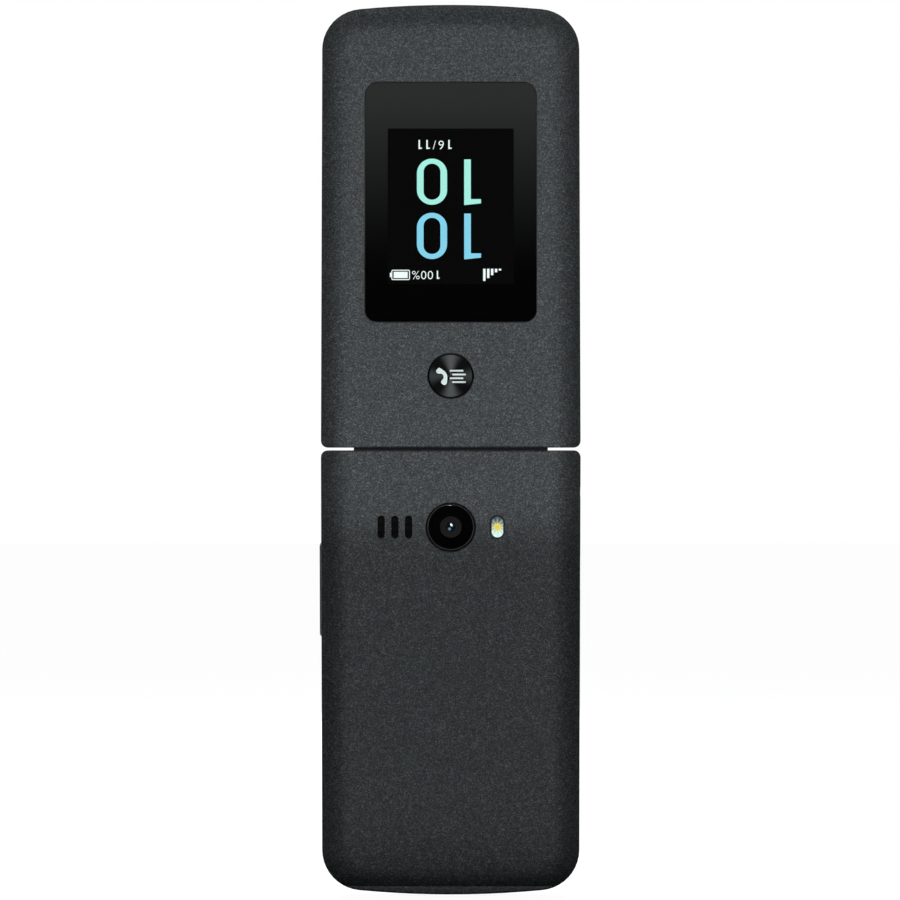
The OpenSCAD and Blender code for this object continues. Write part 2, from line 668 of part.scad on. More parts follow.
module base_rear_housing() base() color("#232526") difference() {
    union() {
        difference() {
            loft(inner_rings(wall + chassis_gap, cavity_near + chassis_gap, rear_z,
                base_wall_z, deck_top));
            plate(body_w - 8.4, battery_near - 10, 2, 0, battery_near / 2 + 2.9, 0, deck_z);
            plate(body_w - 13.4, 5.6, 2, 0, motor_u, 0, deck_z);
        }
        at_base_screws() post(boss_r, 0, 0, boss_z, deck_z + eps);
    }
    plate(battery_w + 2 * bay_gap, battery_l + 2 * bay_gap, 1.6, 0, battery_u, bay_floor, big);
    post(camera_ring_r - 0.7, 0, camera_u, 0, big);
    plate(speaker_w + 0.3, speaker_l + 0.3, 1, speaker_x, camera_u, 0, big);
    obround(flash_l + 0.3, flash_w + 0.3, flash_x, camera_u, 0, big, true);
    plate(sim_size[0] + 1, sim_size[1] - 2, 1, sim_at[0], sim_at[1], 0, big);
    // notches beside the volume key, the two sockets and the battery's contacts
    translate([-big, volume_u - volume_l / 2 - 1.5, 0])
        cube([big - body_w / 2 + 5.5, volume_l + 3, base_seam + 0.2]);
    translate([jack_in - 0.3, 0, 0]) cube([big, jack_u + 3.4, jack_z + 3]);
    translate([body_w / 2 - port_depth - 1.3, port_u - port_w / 2 - 0.5, 0])
        cube([big, port_w + 1, port_mid_z + port_h / 2 + 0.4]);
    translate([contact_x - 5, contact_u - 2, bay_floor]) cube([10, 5.4, 2.8]);
    at_base_screws() {
        post(base_screw_r + 0.1, 0, 0, 0, big);
        post(screw_head_r + 0.15, 0, 0, deck_z + 0.3, big);
        post(boss_r + 0.2, 0, 0, 0, boss_z);
    }
}

module main_circuit_board() base() color(board_green) {
    difference() {
        translate([0, 0, board_z]) linear_extrude(board_t)
            polygon(half_outline(board_margin, board_near));
        at_base_screws() post(boss_r + 0.3, 0, 0, 0, big);
        translate([jack_in - 0.3, 0, 0]) cube([big, jack_u + 3.4, big]);
        translate([body_w / 2 - port_depth - 0.6, port_u - port_w / 2 - 0.4, 0])
            cube([big, port_w + 0.8, big]);
    }
    plate(7, 7, 0.3, shield_at[0] - 0.5, shield_at[1] - 3.5, board_top - eps, board_top + 1);
    plate(4, 5, 0.3, shield_at[0] - 4.5, shield_at[1] + 4.5, board_top - eps, board_top + 1);
    plate(3, 2.4, 0.2, mic_at[0], mic_at[1] - 1, board_z - 0.9, board_z + eps);
}
module shield_cans() base() color(steel) difference() {
    plate(shield_size[0], shield_size[1], 1, shield_at[0], shield_at[1], board_top, board_top + 1.7);
    plate(shield_size[0] - 2 * shield_t, shield_size[1] - 2 * shield_t, 0.8, shield_at[0],
        shield_at[1], 0, board_top + 1.5);
}
module keypad_dome_sheet() base() color("#8f9496") {
    difference() {
        plate(dome_sheet_w, dome_sheet_l, 3, 0, dome_sheet_near + dome_sheet_l / 2,
            dome_z + dome_h, dome_z + dome_h + sheet_t);
        at_base_screws() post(boss_r + 0.3, 0, 0, 0, big);
    }
    at_domes() post(2.2, 0, 0, dome_z, dome_z + dome_h + eps);
}
module at_domes() {
    for (k = flat_keys) translate([k[0], k[1], 0]) children();
    translate([0, nav_u, 0]) {
        children();
        for (a = [0:90:270]) rotate([0, 0, a]) translate([(nav_r + ok_r) / 2, 0, 0]) children();
    }
}
module battery() base() color("#1b1d1f")
    plate(battery_w, battery_l, 1.5, 0, battery_u, bay_floor + seat, deck_top - 0.35);
module battery_contacts() base() color("#c9a24a") {
    plate(9, 3, 0.4, contact_x, contact_u, bay_floor + 0.1, bay_floor + 2.6);
    for (i = [-1:1]) translate([contact_x + i * 2.6 - 0.6, contact_u + 1, bay_floor + 0.6])
        cube([1.2, battery_near - seat - contact_u - 1, 1.2]);
}
module sim_card_holder() base() color(steel) difference() {
    plate(sim_size[0], sim_size[1], 0.5, sim_at[0], sim_at[1], board_top, board_top + 1.4);
    plate(sim_size[0] - 1.2, sim_size[1] - 0.4, 0.4, sim_at[0], sim_at[1] + 0.8,
        board_top + 0.3, board_top + 1.15);
}
module camera_module() base() color("#101112") translate([0, camera_u, 0]) difference() {
    union() {
        plate(8.4, 8.4, 0.6, 0, 0, board_top, deck_z - 0.2);
        post(3.3, 0, 0, deck_z - 0.3, deck_top + 0.1);
    }
    translate([0, 0, deck_top - 0.5]) cylinder(h = 0.61, r1 = 1.1, r2 = 2.5);
    translate([0, 0, deck_top - 2]) cylinder(h = 3, r = 1.05);
}
module camera_ring() base() color("#0b0c0c") translate([0, camera_u, 0])
    rotate_extrude() polygon([[3.6, deck_top], [camera_ring_r, deck_top],
        [camera_ring_r, base_t - 0.15], [camera_ring_r - 0.15, base_t],
        [camera_window_r + 0.1, base_t], [camera_window_r, base_t - 0.1],
        [camera_window_r, base_t - 0.75], [camera_window_r - 0.6, base_t - 0.75]]);
module camera_window() base() color("#15171a")
    post(camera_window_r - fit, 0, camera_u, base_t - 0.75, base_t - 0.2);
module flash_led() base() color("#e9c53a") {
    plate(2.6, 4.4, 0.3, flash_x, camera_u, board_top, deck_z + 0.2);
    plate(1.7, 1.7, 0.2, flash_x, camera_u, deck_z + 0.1, deck_z + 0.5);
}
module flash_lens() base() color("#e8efe2") difference() {
    obround(flash_l, flash_w, flash_x, camera_u, deck_z + 0.6, base_t - seat, true);
    translate([flash_x, camera_u, deck_z + 0.5]) cylinder(h = 0.9, r1 = 1.4, r2 = 0.5);
}
module loudspeaker() base() color("#17181a") {
    plate(speaker_w, speaker_l, 1, speaker_x, camera_u, board_top + 0.2, deck_top - 0.3);
    post(3.6, speaker_x, camera_u, deck_top - 0.31, deck_top - 0.15);
}
module loudspeaker_mesh() base() color("black")
    plate(11, slot_l + 2.6, 1, -slot_x, camera_u, deck_top - 0.1, deck_top + 0.1);
module vibration_motor() base() color(steel) translate(motor_at) {
    along_x(motor_r, 0, motor_l - 3.4);
    along_x(0.4, motor_l - 3.5, motor_l);
    intersection() {
        along_x(motor_r - 0.15, motor_l - 3, motor_l - 0.3);
        translate([0, -motor_r, -motor_r]) cube([motor_l, 2 * motor_r, motor_r + 0.3]);
    }
}
module base_screws() base() color(steel) at_base_screws() difference() {
    union() {
        post(screw_head_r, 0, 0, deck_z + 0.3, deck_z + 0.9);
        post(base_screw_r, 0, 0, face_gap + 1.4, deck_z + 0.4);
    }
    for (a = [45, 135]) rotate([0, 0, a])
        translate([-0.8, -0.15, deck_z + 0.55]) cube([1.6, 0.3, 1]);
}

// rocker let into the side wall, with a flange and two nubs behind it
volume_x = -body_w / 2 - volume_proud;
flange_x = -body_w / 2 + wall + 0.25;
module volume_key() base() color(casing_grey) {
    chamfer = 0.6;
    translate([0, volume_u, volume_z - volume_w / 2]) linear_extrude(volume_w) polygon([
        [flange_x + eps, -volume_l / 2], [flange_x + eps, volume_l / 2],
        [volume_x + volume_proud, volume_l / 2], [volume_x, volume_l / 2 - chamfer],
        [volume_x, chamfer - volume_l / 2], [volume_x + volume_proud, -volume_l / 2]]);
    translate([flange_x, volume_u - volume_l / 2 - 0.5, volume_z - volume_w / 2 - 0.5])
        cube([0.35, volume_l + 1, volume_w + 1]);
    for (s = [-1, 1]) translate([flange_x + 0.3, volume_u + s * 6 - 0.8, volume_z - 0.6])
        cube([0.45, 1.6, 1.2]);
}
module volume_switches() base() color(steel) for (s = [-1, 1])
    translate([flange_x + 0.95, volume_u + s * 6 - 1.8, board_top]) cube([1.2, 3.6, 1.6]);

module headphone_jack() base() color("#151617") difference() {
    union() {
        translate([jack_in, jack_u - jack_body_w / 2, face_in + seat])
            cube([body_w / 2 - wall - 0.7 - jack_in, jack_body_w, base_seam - face_in - 2 * seat]);
        translate([0, jack_u, jack_z]) along_x(jack_nose_r, body_w / 2 - 8, body_w / 2 - 0.1);
    }
    translate([0, jack_u, jack_z]) along_x(jack_bore_r, body_w / 2 - 0.1 - jack_depth, big);
}
module charging_port() base() color(steel)
    translate([body_w / 2 - port_depth, port_u, port_mid_z]) rotate([90, 0, 90]) {
        difference() {
            linear_extrude(port_depth - 0.15) polygon(rounded_rect(port_w, port_h, 1.2));
            translate([0, 0, 0.6]) linear_extrude(port_depth)
                polygon(rounded_rect(port_w - 0.6, port_h - 0.6, 0.95));
        }
        translate([-3, -0.3, 0.3]) cube([6, 0.6, port_depth - 2]);
    }

module navigation_pad() base() color("#555a5c") translate([0, nav_u, 0]) difference() {
    union() {
        post(nav_r + 0.9, 0, 0, pad_z, pad_z + pad_t);
        for (a = [0:90:270]) rotate([0, 0, a])
            post(1.2, (nav_r + ok_r) / 2, 0, pad_z + pad_t - eps, pad_z + pad_t + 0.1);
    }
    post(ok_r + 0.5, 0, 0, 0, big);
}
module navigation_ring() base() color("#3a3d3f") {
    top = face_gap - key_proud + 0.03;
    low = pad_z - 0.25;
    translate([0, nav_u, 0]) rotate_extrude() polygon([[ring_hole_r, low], [nav_r, low],
        [nav_r, top + 0.3], [nav_r - 0.3, top + 0.06], [nav_r - 0.8, top],
        [ring_hole_r + 0.6, top + 0.05], [ring_hole_r + 0.15, top + 0.2],
        [ring_hole_r, top + 0.4]]);
}
module ok_key() base() color("#3a3d3f") {
    top = face_gap - key_proud + 0.03;
    translate([0, nav_u, 0]) rotate_extrude() polygon([[0, top + 0.06], [ok_r - 1.5, top + 0.03],
        [ok_r - 0.5, top], [ok_r - 0.15, top + 0.1], [ok_r, top + 0.3], [ok_r, pad_z + pad_t],
        [1.2, pad_z + pad_t], [1.2, stem_z], [0, stem_z]]);
}
module left_soft_key() key(left_soft, "#3a3d3f");
module right_soft_key() key(right_soft, "#3a3d3f");
module call_key() key(call_at, "#3a3d3f");
module clear_key() key(clear_at, "#3a3d3f");
module end_key() key(end_at, "#3a3d3f");
module number(i) key(number_key(i), "#3a3d3f");

lid_outer_cover();
lid_front_frame();
outer_display_window();
outer_display_panel();
main_display_window();
main_display_panel();
display_chassis();
lid_circuit_board();
earpiece_receiver();
earpiece_mesh();
lid_magnet();
lid_bumpers();
lid_screws();
hinge_cartridge();
call_list_key();
base_front_housing();
base_rear_housing();
battery_cover();
main_circuit_board();
shield_cans();
keypad_dome_sheet();
battery();
battery_contacts();
sim_card_holder();
camera_module();
camera_ring();
camera_window();
flash_led();
flash_lens();
loudspeaker();
loudspeaker_mesh();
volume_key();
volume_switches();
headphone_jack();
charging_port();
vibration_motor();
base_screws();
hinge_shafts();
hinge_end_caps();
hinge_flex();
navigation_pad();
navigation_ring();
ok_key();
left_soft_key();
right_soft_key();
call_key();
clear_key();
end_key();
number(0);  // key_1
number(1);  // key_2
number(2);  // key_3
number(3);  // key_4
number(4);  // key_5
number(5);  // key_6
number(6);  // key_7
number(7);  // key_8
number(8);  // key_9
number(9);  // key_star
number(10);  // key_0
number(11);  // key_hash
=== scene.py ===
"""Looks of a flip phone that stands open on the end of its base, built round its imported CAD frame.

Pieces are drawn in millimetres in the frame of the half that carries them:
    x  across the phone, to the right as seen from outside
    y  up that half: away from the hinge on the lid, towards it on the base
    z  outwards from the inner face, with the hinge axis on the x axis
"""

import json
import math

import bmesh
import bpy
from mathutils import Matrix, Vector

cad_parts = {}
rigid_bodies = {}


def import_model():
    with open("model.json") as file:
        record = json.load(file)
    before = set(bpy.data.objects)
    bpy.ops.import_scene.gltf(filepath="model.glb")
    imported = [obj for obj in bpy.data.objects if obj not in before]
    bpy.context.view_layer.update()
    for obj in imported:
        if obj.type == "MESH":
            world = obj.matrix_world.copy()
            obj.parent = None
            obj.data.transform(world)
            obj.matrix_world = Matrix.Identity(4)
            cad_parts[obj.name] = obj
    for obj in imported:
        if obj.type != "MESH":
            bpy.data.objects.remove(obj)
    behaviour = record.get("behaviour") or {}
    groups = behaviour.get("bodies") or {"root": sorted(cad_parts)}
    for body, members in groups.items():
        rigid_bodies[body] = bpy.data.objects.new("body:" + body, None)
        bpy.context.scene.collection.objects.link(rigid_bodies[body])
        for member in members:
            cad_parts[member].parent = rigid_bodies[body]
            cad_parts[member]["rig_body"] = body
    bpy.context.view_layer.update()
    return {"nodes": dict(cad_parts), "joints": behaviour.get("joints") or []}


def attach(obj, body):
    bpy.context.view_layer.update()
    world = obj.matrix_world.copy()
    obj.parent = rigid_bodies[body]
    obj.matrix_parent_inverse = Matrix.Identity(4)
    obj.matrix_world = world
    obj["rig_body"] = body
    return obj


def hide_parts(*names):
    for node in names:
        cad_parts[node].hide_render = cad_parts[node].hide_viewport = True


bl_info = {
    "name": "Flip phone looks",
    "version": (1, 0, 0),
    "blender": (4, 5, 0),
    "location": "View3D > Sidebar > Flip phone",
    "description": "Casings, displays, keys, camera row and stage of an open flip phone",
    "category": "Object",
}

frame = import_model()

MM = 0.001
HINGE = next(j for j in frame["joints"] if j["name"] == "lid_hinge")
HINGE_POINT = Vector(HINGE["pos_m"])
LEAN = math.radians(180 - HINGE["range_deg"][1]) / 2
SEATS = {
    half: Matrix.Translation(HINGE_POINT)
    @ Matrix.Rotation(math.pi / 2 + turn * LEAN, 4, "X")
    @ Matrix.Scale(MM, 4)
    for half, turn in (("lid", -1), ("base", 1))
}
# a print on an inner face is read from inside, so it faces down and runs the other way
FACING_IN = Matrix.Rotation(math.pi, 4, "Y")
UPSIDE_DOWN = Matrix.Rotation(math.pi, 4, "Z")
# millimetres
PAINTED_SHADE_REACH = 4.2
LID_THICKNESS = 7.6
ROUND_KEY_RADIUS = 4.88
PRINT_THICKNESS = 0.03


# ---- sizes and colours a user may change ----


def colour_setting(name, description, default):
    return bpy.props.FloatVectorProperty(
        name=name, description=description, subtype="COLOR", size=3, min=0, max=1, default=default)


def length_setting(name, description, default):
    return bpy.props.FloatProperty(
        name=name, description=description, subtype="DISTANCE", unit="LENGTH", precision=6,
        default=default)


def plain_setting(name, description, default):
    return bpy.props.FloatProperty(name=name, description=description, default=default)


class PhoneCasing(bpy.types.PropertyGroup):
    paint: colour_setting("Paint", "Grey of the painted casings", (0.0500, 0.0548, 0.0572))
    flake: length_setting("Flake size", "Size of the sparkling grains in the paint", 0.00021)
    inner: colour_setting(
        "Inner plastic", "Colour of the plates round the main display and the keys",
        (0.0215, 0.0235, 0.0245))
    edge: length_setting("Edge", "Width of the rounding along the casings' sharp edges", 0.00006)


class PhoneDisplay(bpy.types.PropertyGroup):
    glass: colour_setting("Glass", "Colour behind the black windows", (0.0012, 0.0013, 0.0012))
    hours: colour_setting("Hours", "Colour of the hours on the outer display", (0.36, 0.86, 0.74))
    minutes: colour_setting(
        "Minutes", "Colour of the minutes on the outer display", (0.22, 0.64, 0.83))
    figure_height: length_setting("Figure height", "Height of the large figures", 0.01047)
    figure_width: length_setting("Figure width", "Width of a large nought", 0.0067)
    figure_stroke: length_setting(
        "Figure stroke", "Width of the upright strokes of the large figures", 0.00148)
    figure_end: length_setting(
        "Figure end", "Width of the strokes at the ends of the large figures", 0.00114)


class PhoneKeys(bpy.types.PropertyGroup):
    key: colour_setting("Keys", "Colour of the keypad's keys", (0.034, 0.037, 0.039))
    legend: colour_setting("Legends", "Colour of the figures on the keys", (0.78, 0.80, 0.80))
    figure: length_setting("Figure size", "Height of the type on the number keys", 0.0046)
    spun: colour_setting("Spun key", "Colour of the round key's spun metal", (0.060, 0.066, 0.068))


class PhoneCamera(bpy.types.PropertyGroup):
    coating: colour_setting("Lens coating", "Tint of the camera lens", (0.008, 0.016, 0.030))
    barrel: colour_setting(
        "Lens barrel", "Colour of the ring round the lens", (0.010, 0.009, 0.008))
    barrel_r: length_setting(
        "Barrel radius", "Radius of the clear middle of the camera window", 0.0024)
    lens_r: length_setting("Lens radius", "Radius of the camera lens", 0.0011)
    phosphor: colour_setting("Flash", "Colour of the flash's phosphor", (0.86, 0.68, 0.09))


class PhoneStage(bpy.types.PropertyGroup):
    distance: length_setting(
        "Camera distance", "From the lens to the outer face at the hinge", 1.577)
    lens: plain_setting("Lens", "Focal length in millimetres on a 36 mm sensor", 286.35)
    ambient: plain_setting("Ambient", "Level of the light from all round", 0.2)
    key_level: plain_setting("Key level", "Level of the light on the lid", 0.36)
    low_level: plain_setting("Low level", "Level of the light that reaches down the base", 0.44)
    top_level: plain_setting("Top level", "Level of the light from above", 0.4)
    side_level: plain_setting("Side level", "Level of the light on the sides, from behind", 0.1)
    back_level: plain_setting("Back level", "Level of the light on the inner faces", 0.9)


GROUPS = {
    "phone_casing": PhoneCasing, "phone_display": PhoneDisplay, "phone_keys": PhoneKeys,
    "phone_camera": PhoneCamera, "phone_stage": PhoneStage,
}


# ---- materials ----


class Nodes:
    """Nodes of a material or a world, each made with what feeds it."""

    def __init__(self, tree):
        self.tree = tree

    def node(self, kind, *inputs, **settings):
        made = self.tree.nodes.new(kind)
        for setting, value in settings.items():
            setattr(made, setting, value)
        for socket, value in inputs:
            self.feed(made.inputs[socket], value)
        return made

    def feed(self, socket, value):
        if isinstance(value, bpy.types.NodeSocket):
            self.tree.links.new(value, socket)
        else:
            socket.default_value = value

    def remap(self, value, low, high, to_low, to_high):
        return self.node(
            "ShaderNodeMapRange", ("Value", value), ("From Min", low), ("From Max", high),
            ("To Min", to_low), ("To Max", to_high)).outputs["Result"]

    def axes(self, vector):
        return self.node("ShaderNodeSeparateXYZ", ("Vector", vector)).outputs

    def maths(self, operation, a, b=0.0, clamp=False):
        return self.node(
            "ShaderNodeMath", (0, a), (1, b), operation=operation, use_clamp=clamp).outputs[0]

    def blend(self, share, a, b):
        made = self.node("ShaderNodeMix", ("Factor", share), (6, a), (7, b), data_type="RGBA")
        return made.outputs[2]

    def seen(self):
        """1 for rays from the camera and those that metal and glass send on."""
        path = self.node("ShaderNodeLightPath")
        rays = self.maths("ADD", path.outputs["Is Camera Ray"], path.outputs["Is Glossy Ray"], clamp=True)
        return self.maths("ADD", rays, path.outputs["Is Transmission Ray"], clamp=True)


class Finish(Nodes):
    """A material built up from grain, colour and gloss, on object coordinates."""

    def __init__(self, name, **skin):
        self.material = bpy.data.materials.new(name)
        self.material.use_nodes = True
        super().__init__(self.material.node_tree)
        self.skin = self.tree.nodes["Principled BSDF"]
        for socket, value in skin.items():
            self.skin.inputs[socket.replace("_", " ")].default_value = value
        self.place = self.node("ShaderNodeTexCoord").outputs["Object"]

    def put(self, socket, value):
        self.feed(self.skin.inputs[socket], value)

    def noise(self, size_mm, detail=2.0):
        return self.node(
            "ShaderNodeTexNoise", ("Vector", self.place), ("Scale", 1 / (size_mm * MM)),
            ("Detail", detail), ("Roughness", 0.5)).outputs["Fac"]

    def colour(self, share, dark, light):
        self.put("Base Color", self.blend(share, dark, light))

    def gloss(self, share, low, high):
        self.put("Roughness", self.remap(share, 0.3, 0.7, low, high))

    def relief(self, height, depth_mm):
        bump = self.node(
            "ShaderNodeBump", ("Height", height), ("Distance", depth_mm * MM), ("Strength", 1.0))
        self.put("Normal", bump.outputs["Normal"])

    def centred(self, half, x, y, z):
        """Object coordinates in a half's own frame, in metres from a point given in millimetres."""
        seat = SEATS[half] @ Matrix.Scale(1 / MM, 4)
        spot = SEATS[half] @ Vector((x, y, z))
        return self.node(
            "ShaderNodeMapping", ("Vector", self.place), ("Location", spot),
            ("Rotation", seat.to_euler()), vector_type="TEXTURE").outputs["Vector"]

    def away(self, half, x, y, z, spine=0.0):
        """Millimetres across a half's face from a spot, or from an upright line through it."""
        place = self.axes(self.centred(half, x, y, z))
        across, up = (self.maths("MULTIPLY", place[axis], 1 / MM) for axis in "XY")
        if spine:
            beyond = self.maths("SUBTRACT", self.maths("ABSOLUTE", up), spine / 2)
            up = self.maths("MAXIMUM", beyond, 0.0)
        flat = self.node("ShaderNodeCombineXYZ", ("X", across), ("Y", up)).outputs[0]
        return self.node("ShaderNodeVectorMath", (0, flat), operation="LENGTH").outputs["Value"]


def tint(colour, factor=1.0):
    return (colour[0] * factor, colour[1] * factor, colour[2] * factor, 1.0)


def moulded(name, colour, roughness=0.5, grain_mm=0.25, depth_mm=0.006, swing=0.12, **skin):
    """Plastic, rubber or film: a fine grain in relief, gloss and tone."""
    made = Finish(name, **skin)
    grain = made.noise(grain_mm, 3.0)
    cloud = made.noise(grain_mm * 30, 2.0)
    share = made.maths("MULTIPLY", grain, cloud)
    made.colour(share, tint(colour, 1 - swing), tint(colour, 1 + 3 * swing))
    made.gloss(grain, roughness - 0.04, roughness + 0.04)
    made.relief(grain, depth_mm)
    return made.material


def inner_plastic_with_painted_shade(name, colour):
    """Plastic of the inner frames, with painted shade making it near-black, and dull, on the barrel that
    they form round the hinge.
    """
    made = Finish(name, Specular_IOR_Level=0.35)
    grain = made.noise(0.22, 3.0)
    vector = "ShaderNodeVectorMath"
    place = made.node(vector, (0, made.place), (1, HINGE_POINT), operation="SUBTRACT").outputs[0]
    across = made.node(vector, (0, place), (1, (0, 1, 1)), operation="MULTIPLY").outputs[0]
    far = made.node(vector, (0, across), operation="LENGTH").outputs["Value"]
    out_of_painted_shade = made.remap(far, PAINTED_SHADE_REACH * MM, (PAINTED_SHADE_REACH + 1.0) * MM, 0.0, 1.0)
    plain = made.blend(grain, tint(colour, 0.85), tint(colour, 1.3))
    # painted shade: near-black on the hinge barrel, where the slot between the halves is in shade
    made.put("Base Color", made.blend(out_of_painted_shade, (0.004, 0.0045, 0.0048, 1), plain))
    dull = made.remap(out_of_painted_shade, 0.0, 1.0, 0.95, 0.4)
    uneven = made.remap(grain, 0.3, 0.7, -0.03, 0.03)
    made.put("Roughness", made.maths("ADD", dull, uneven))
    made.relief(grain, 0.005)
    return made.material


def paint_finish(name, casing):
    """Satin metallic paint, with flakes of slightly different grey."""
    made = Finish(name, Metallic=0.5, Specular_IOR_Level=0.0, Specular_Tint=(0.2, 0.2, 0.2, 1.0))
    cells = made.node("ShaderNodeTexVoronoi", ("Vector", made.place), ("Scale", 1 / casing.flake))
    flake = made.node("ShaderNodeSeparateColor", ("Color", cells.outputs["Color"])).outputs[0]
    cloud = made.noise(1.3, 3.0)
    level = made.maths("ADD", flake, made.maths("MULTIPLY", cloud, 0.35))
    ramp = made.node("ShaderNodeValToRGB", ("Fac", made.remap(level, 0.0, 1.3, 0.0, 1.0)))
    stops = ramp.color_ramp.elements
    stops[0].position, stops[0].color = 0.0, tint(casing.paint, 0.4)
    stops[1].position, stops[1].color = 1.0, tint(casing.paint, 2.6)
    for position, factor in ((0.45, 0.9), (0.75, 1.2)):
        stop = stops.new(position)
        stop.color = tint(casing.paint, factor)
    made.put("Base Color", ramp.outputs["Color"])
    made.gloss(made.noise(0.4, 2.0), 0.49, 0.55)
    made.relief(made.noise(0.16, 2.0), 0.003)
    return made.material


def glass_finish(name, colour, roughness=0.03, face=None):
    """Black glass, printed behind and faintly uneven; below its face, its rims are ground."""
    made = Finish(name, Specular_IOR_Level=0.5)
    wave = made.noise(9.0, 1.0)
    made.colour(wave, tint(colour, 0.85), tint(colour, 1.15))
    gloss = made.remap(wave, 0.3, 0.7, roughness, roughness + 0.02)
    if face:
        half, height, outward = face
        place = made.axes(made.centred(half, 0, 0, height))
        full, none = (-depth * MM * outward for depth in (0.006, 0.001))
        ground = made.remap(place["Z"], full, none, 0.8, 0.0)
        gloss = made.maths("MAXIMUM", gloss, ground)
    made.put("Roughness", gloss)
    return made.material


def lit_finish(name, colour):
    """Lit figures on a display, with the faint mesh of its pixels."""
    made = Finish(name, Roughness=0.4, Specular_IOR_Level=0.1, Emission_Strength=1.0)
    made.put("Base Color", (0, 0, 0, 1))
    share = made.remap(made.noise(0.16, 0.0), 0.3, 0.7, 0, 1)
    made.put("Emission Color", made.blend(share, tint(colour, 0.95), tint(colour, 1.05)))
    return made.material


def metal_finish(name, colour, roughness=0.32, grain_mm=0.5):
    """Rolled or turned metal with fine unevenness."""
    made = Finish(name, Metallic=1.0)
    grain = made.noise(grain_mm, 4.0)
    made.colour(grain, tint(colour, 0.8), tint(colour, 1.1))
    made.gloss(grain, roughness - 0.06, roughness + 0.08)
    made.relief(grain, 0.004)
    return made.material


def spun_metal_with_painted_reflection(name, colour, radius_mm, rim_mm):
    """Dark metal turned on a lathe, with its reflection painted into the colour as four bright wedges,
    and painted shade making its rim black.
    """
    made = Finish(name, Metallic=0.5, Specular_IOR_Level=0.0, Specular_Tint=(0.2, 0.2, 0.2, 1.0),
                  Anisotropic=0.35)
    uv = made.axes(made.node("ShaderNodeUVMap", uv_map="turned").outputs["UV"])
    rings = made.node(
        "ShaderNodeTexNoise", ("W", uv["X"]), ("Scale", radius_mm * 7.0), ("Detail", 2.0),
        noise_dimensions="1D").outputs["Fac"]
    # painted reflection: four bright wedges round the key by angle, one pair brighter than the other
    painted_wedges, painted_wedge_tilt = (made.maths("COSINE", made.maths("MULTIPLY", uv["Y"], turns * math.tau))
                  for turns in (4, 2))
    painted_reflection = made.maths("SUBTRACT", painted_wedges, made.maths("MULTIPLY", painted_wedge_tilt, 0.3))
    share = made.maths("POWER", made.remap(painted_reflection, -0.9, 1.3, 0.0, 1.0), 1.6)
    # painted shade: the rim is coloured near-black for the shaded gap round the key
    edge, end = ((rim_mm - gap) / radius_mm for gap in (0.22, 0.12))
    inside = made.remap(uv["X"], edge, end, 1.0, 0.0)
    inside = made.maths("MULTIPLY", inside, made.remap(rings, 0.2, 0.8, 0.8, 1.15))
    share = made.maths("MULTIPLY", share, inside)
    made.colour(share, tint(colour, 0.06), tint(colour))
    made.gloss(rings, 0.45, 0.55)
    made.relief(rings, 0.001)
    tangent = made.node("ShaderNodeTangent", direction_type="UV_MAP", uv_map="turned")
    made.put("Tangent", tangent.outputs["Tangent"])
    return made.material


def board_finish(name, colour):
    """Circuit board: copper tracks that show through the solder mask."""
    made = Finish(name, Roughness=0.4)
    tracks = made.node(
        "ShaderNodeTexBrick", ("Vector", made.place), ("Scale", 1 / (2.4 * MM)),
        ("Color1", tint(colour)), ("Color2", tint(colour, 0.8)), ("Mortar", tint(colour, 1.6)),
        ("Mortar Size", 0.04))
    made.put("Base Color", tracks.outputs["Color"])
    made.relief(tracks.outputs["Fac"], 0.02)
    return made.material


def mesh_finish(name, colour, pitch_mm):
    """Woven acoustic mesh: dark holes in a regular grid."""
    made = Finish(name, Roughness=0.8, Specular_IOR_Level=0.02)
    holes = made.node(
        "ShaderNodeTexVoronoi", ("Vector", made.place), ("Scale", 1 / (pitch_mm * MM)),
        ("Randomness", 0.15)).outputs["Distance"]
    made.colour(made.remap(holes, 0.15, 0.5, 0, 1), tint(colour, 0.2), tint(colour, 1.4))
    made.relief(holes, 0.05)
    return made.material


def flash_with_painted_light(name, phosphor, w, h, spot):
    """Flash behind its lens: a bright star of phosphor in a ribbed reflector with a dark rim; painted
    shade darkens the reflector's top, painted light brightens its bottom, and the whole flash is painted
    to glow faintly.
    """
    made = Finish(name, Roughness=0.3, Specular_IOR_Level=0.3)
    xyz = made.axes(made.centred("base", *spot))
    angle = made.maths("ARCTAN2", xyz["Y"], xyz["X"])
    ribs = made.maths("SINE", made.maths("MULTIPLY", angle, 11.0))
    star = made.maths("ADD", made.away("base", *spot), made.maths("MULTIPLY", ribs, 0.16))
    height = made.maths("MULTIPLY", xyz["Y"], 1 / MM)
    ribbed = made.maths("ADD", height, made.maths("MULTIPLY", ribs, 0.5))
    # painted shade and light: the reflector goes dark towards its top and pale towards its bottom
    shade = made.remap(ribbed, -1.9, 2.0, 1.0, 0.0)
    painted_lit_and_shaded_bowl = made.blend(shade, (0.06, 0.075, 0.085, 1), (0.72, 0.95, 0.86, 1))
    lit = made.blend(made.remap(star, 0.62, 1.05, 1.0, 0.0), painted_lit_and_shaded_bowl, tint(phosphor))
    edge = made.remap(made.away("base", *spot, spine=h - w), w / 2 - 0.42, w / 2 - 0.24, 1.0, 0.0)
    seen = made.blend(edge, (0.003, 0.003, 0.003, 1), lit)
    # painted light: the flash's colours glow as emission, though the flash is not firing
    for socket in ("Base Color", "Emission Color"):
        made.put(socket, seen)
    made.put("Emission Strength", 0.35)
    made.relief(ribs, 0.05)
    return made.material


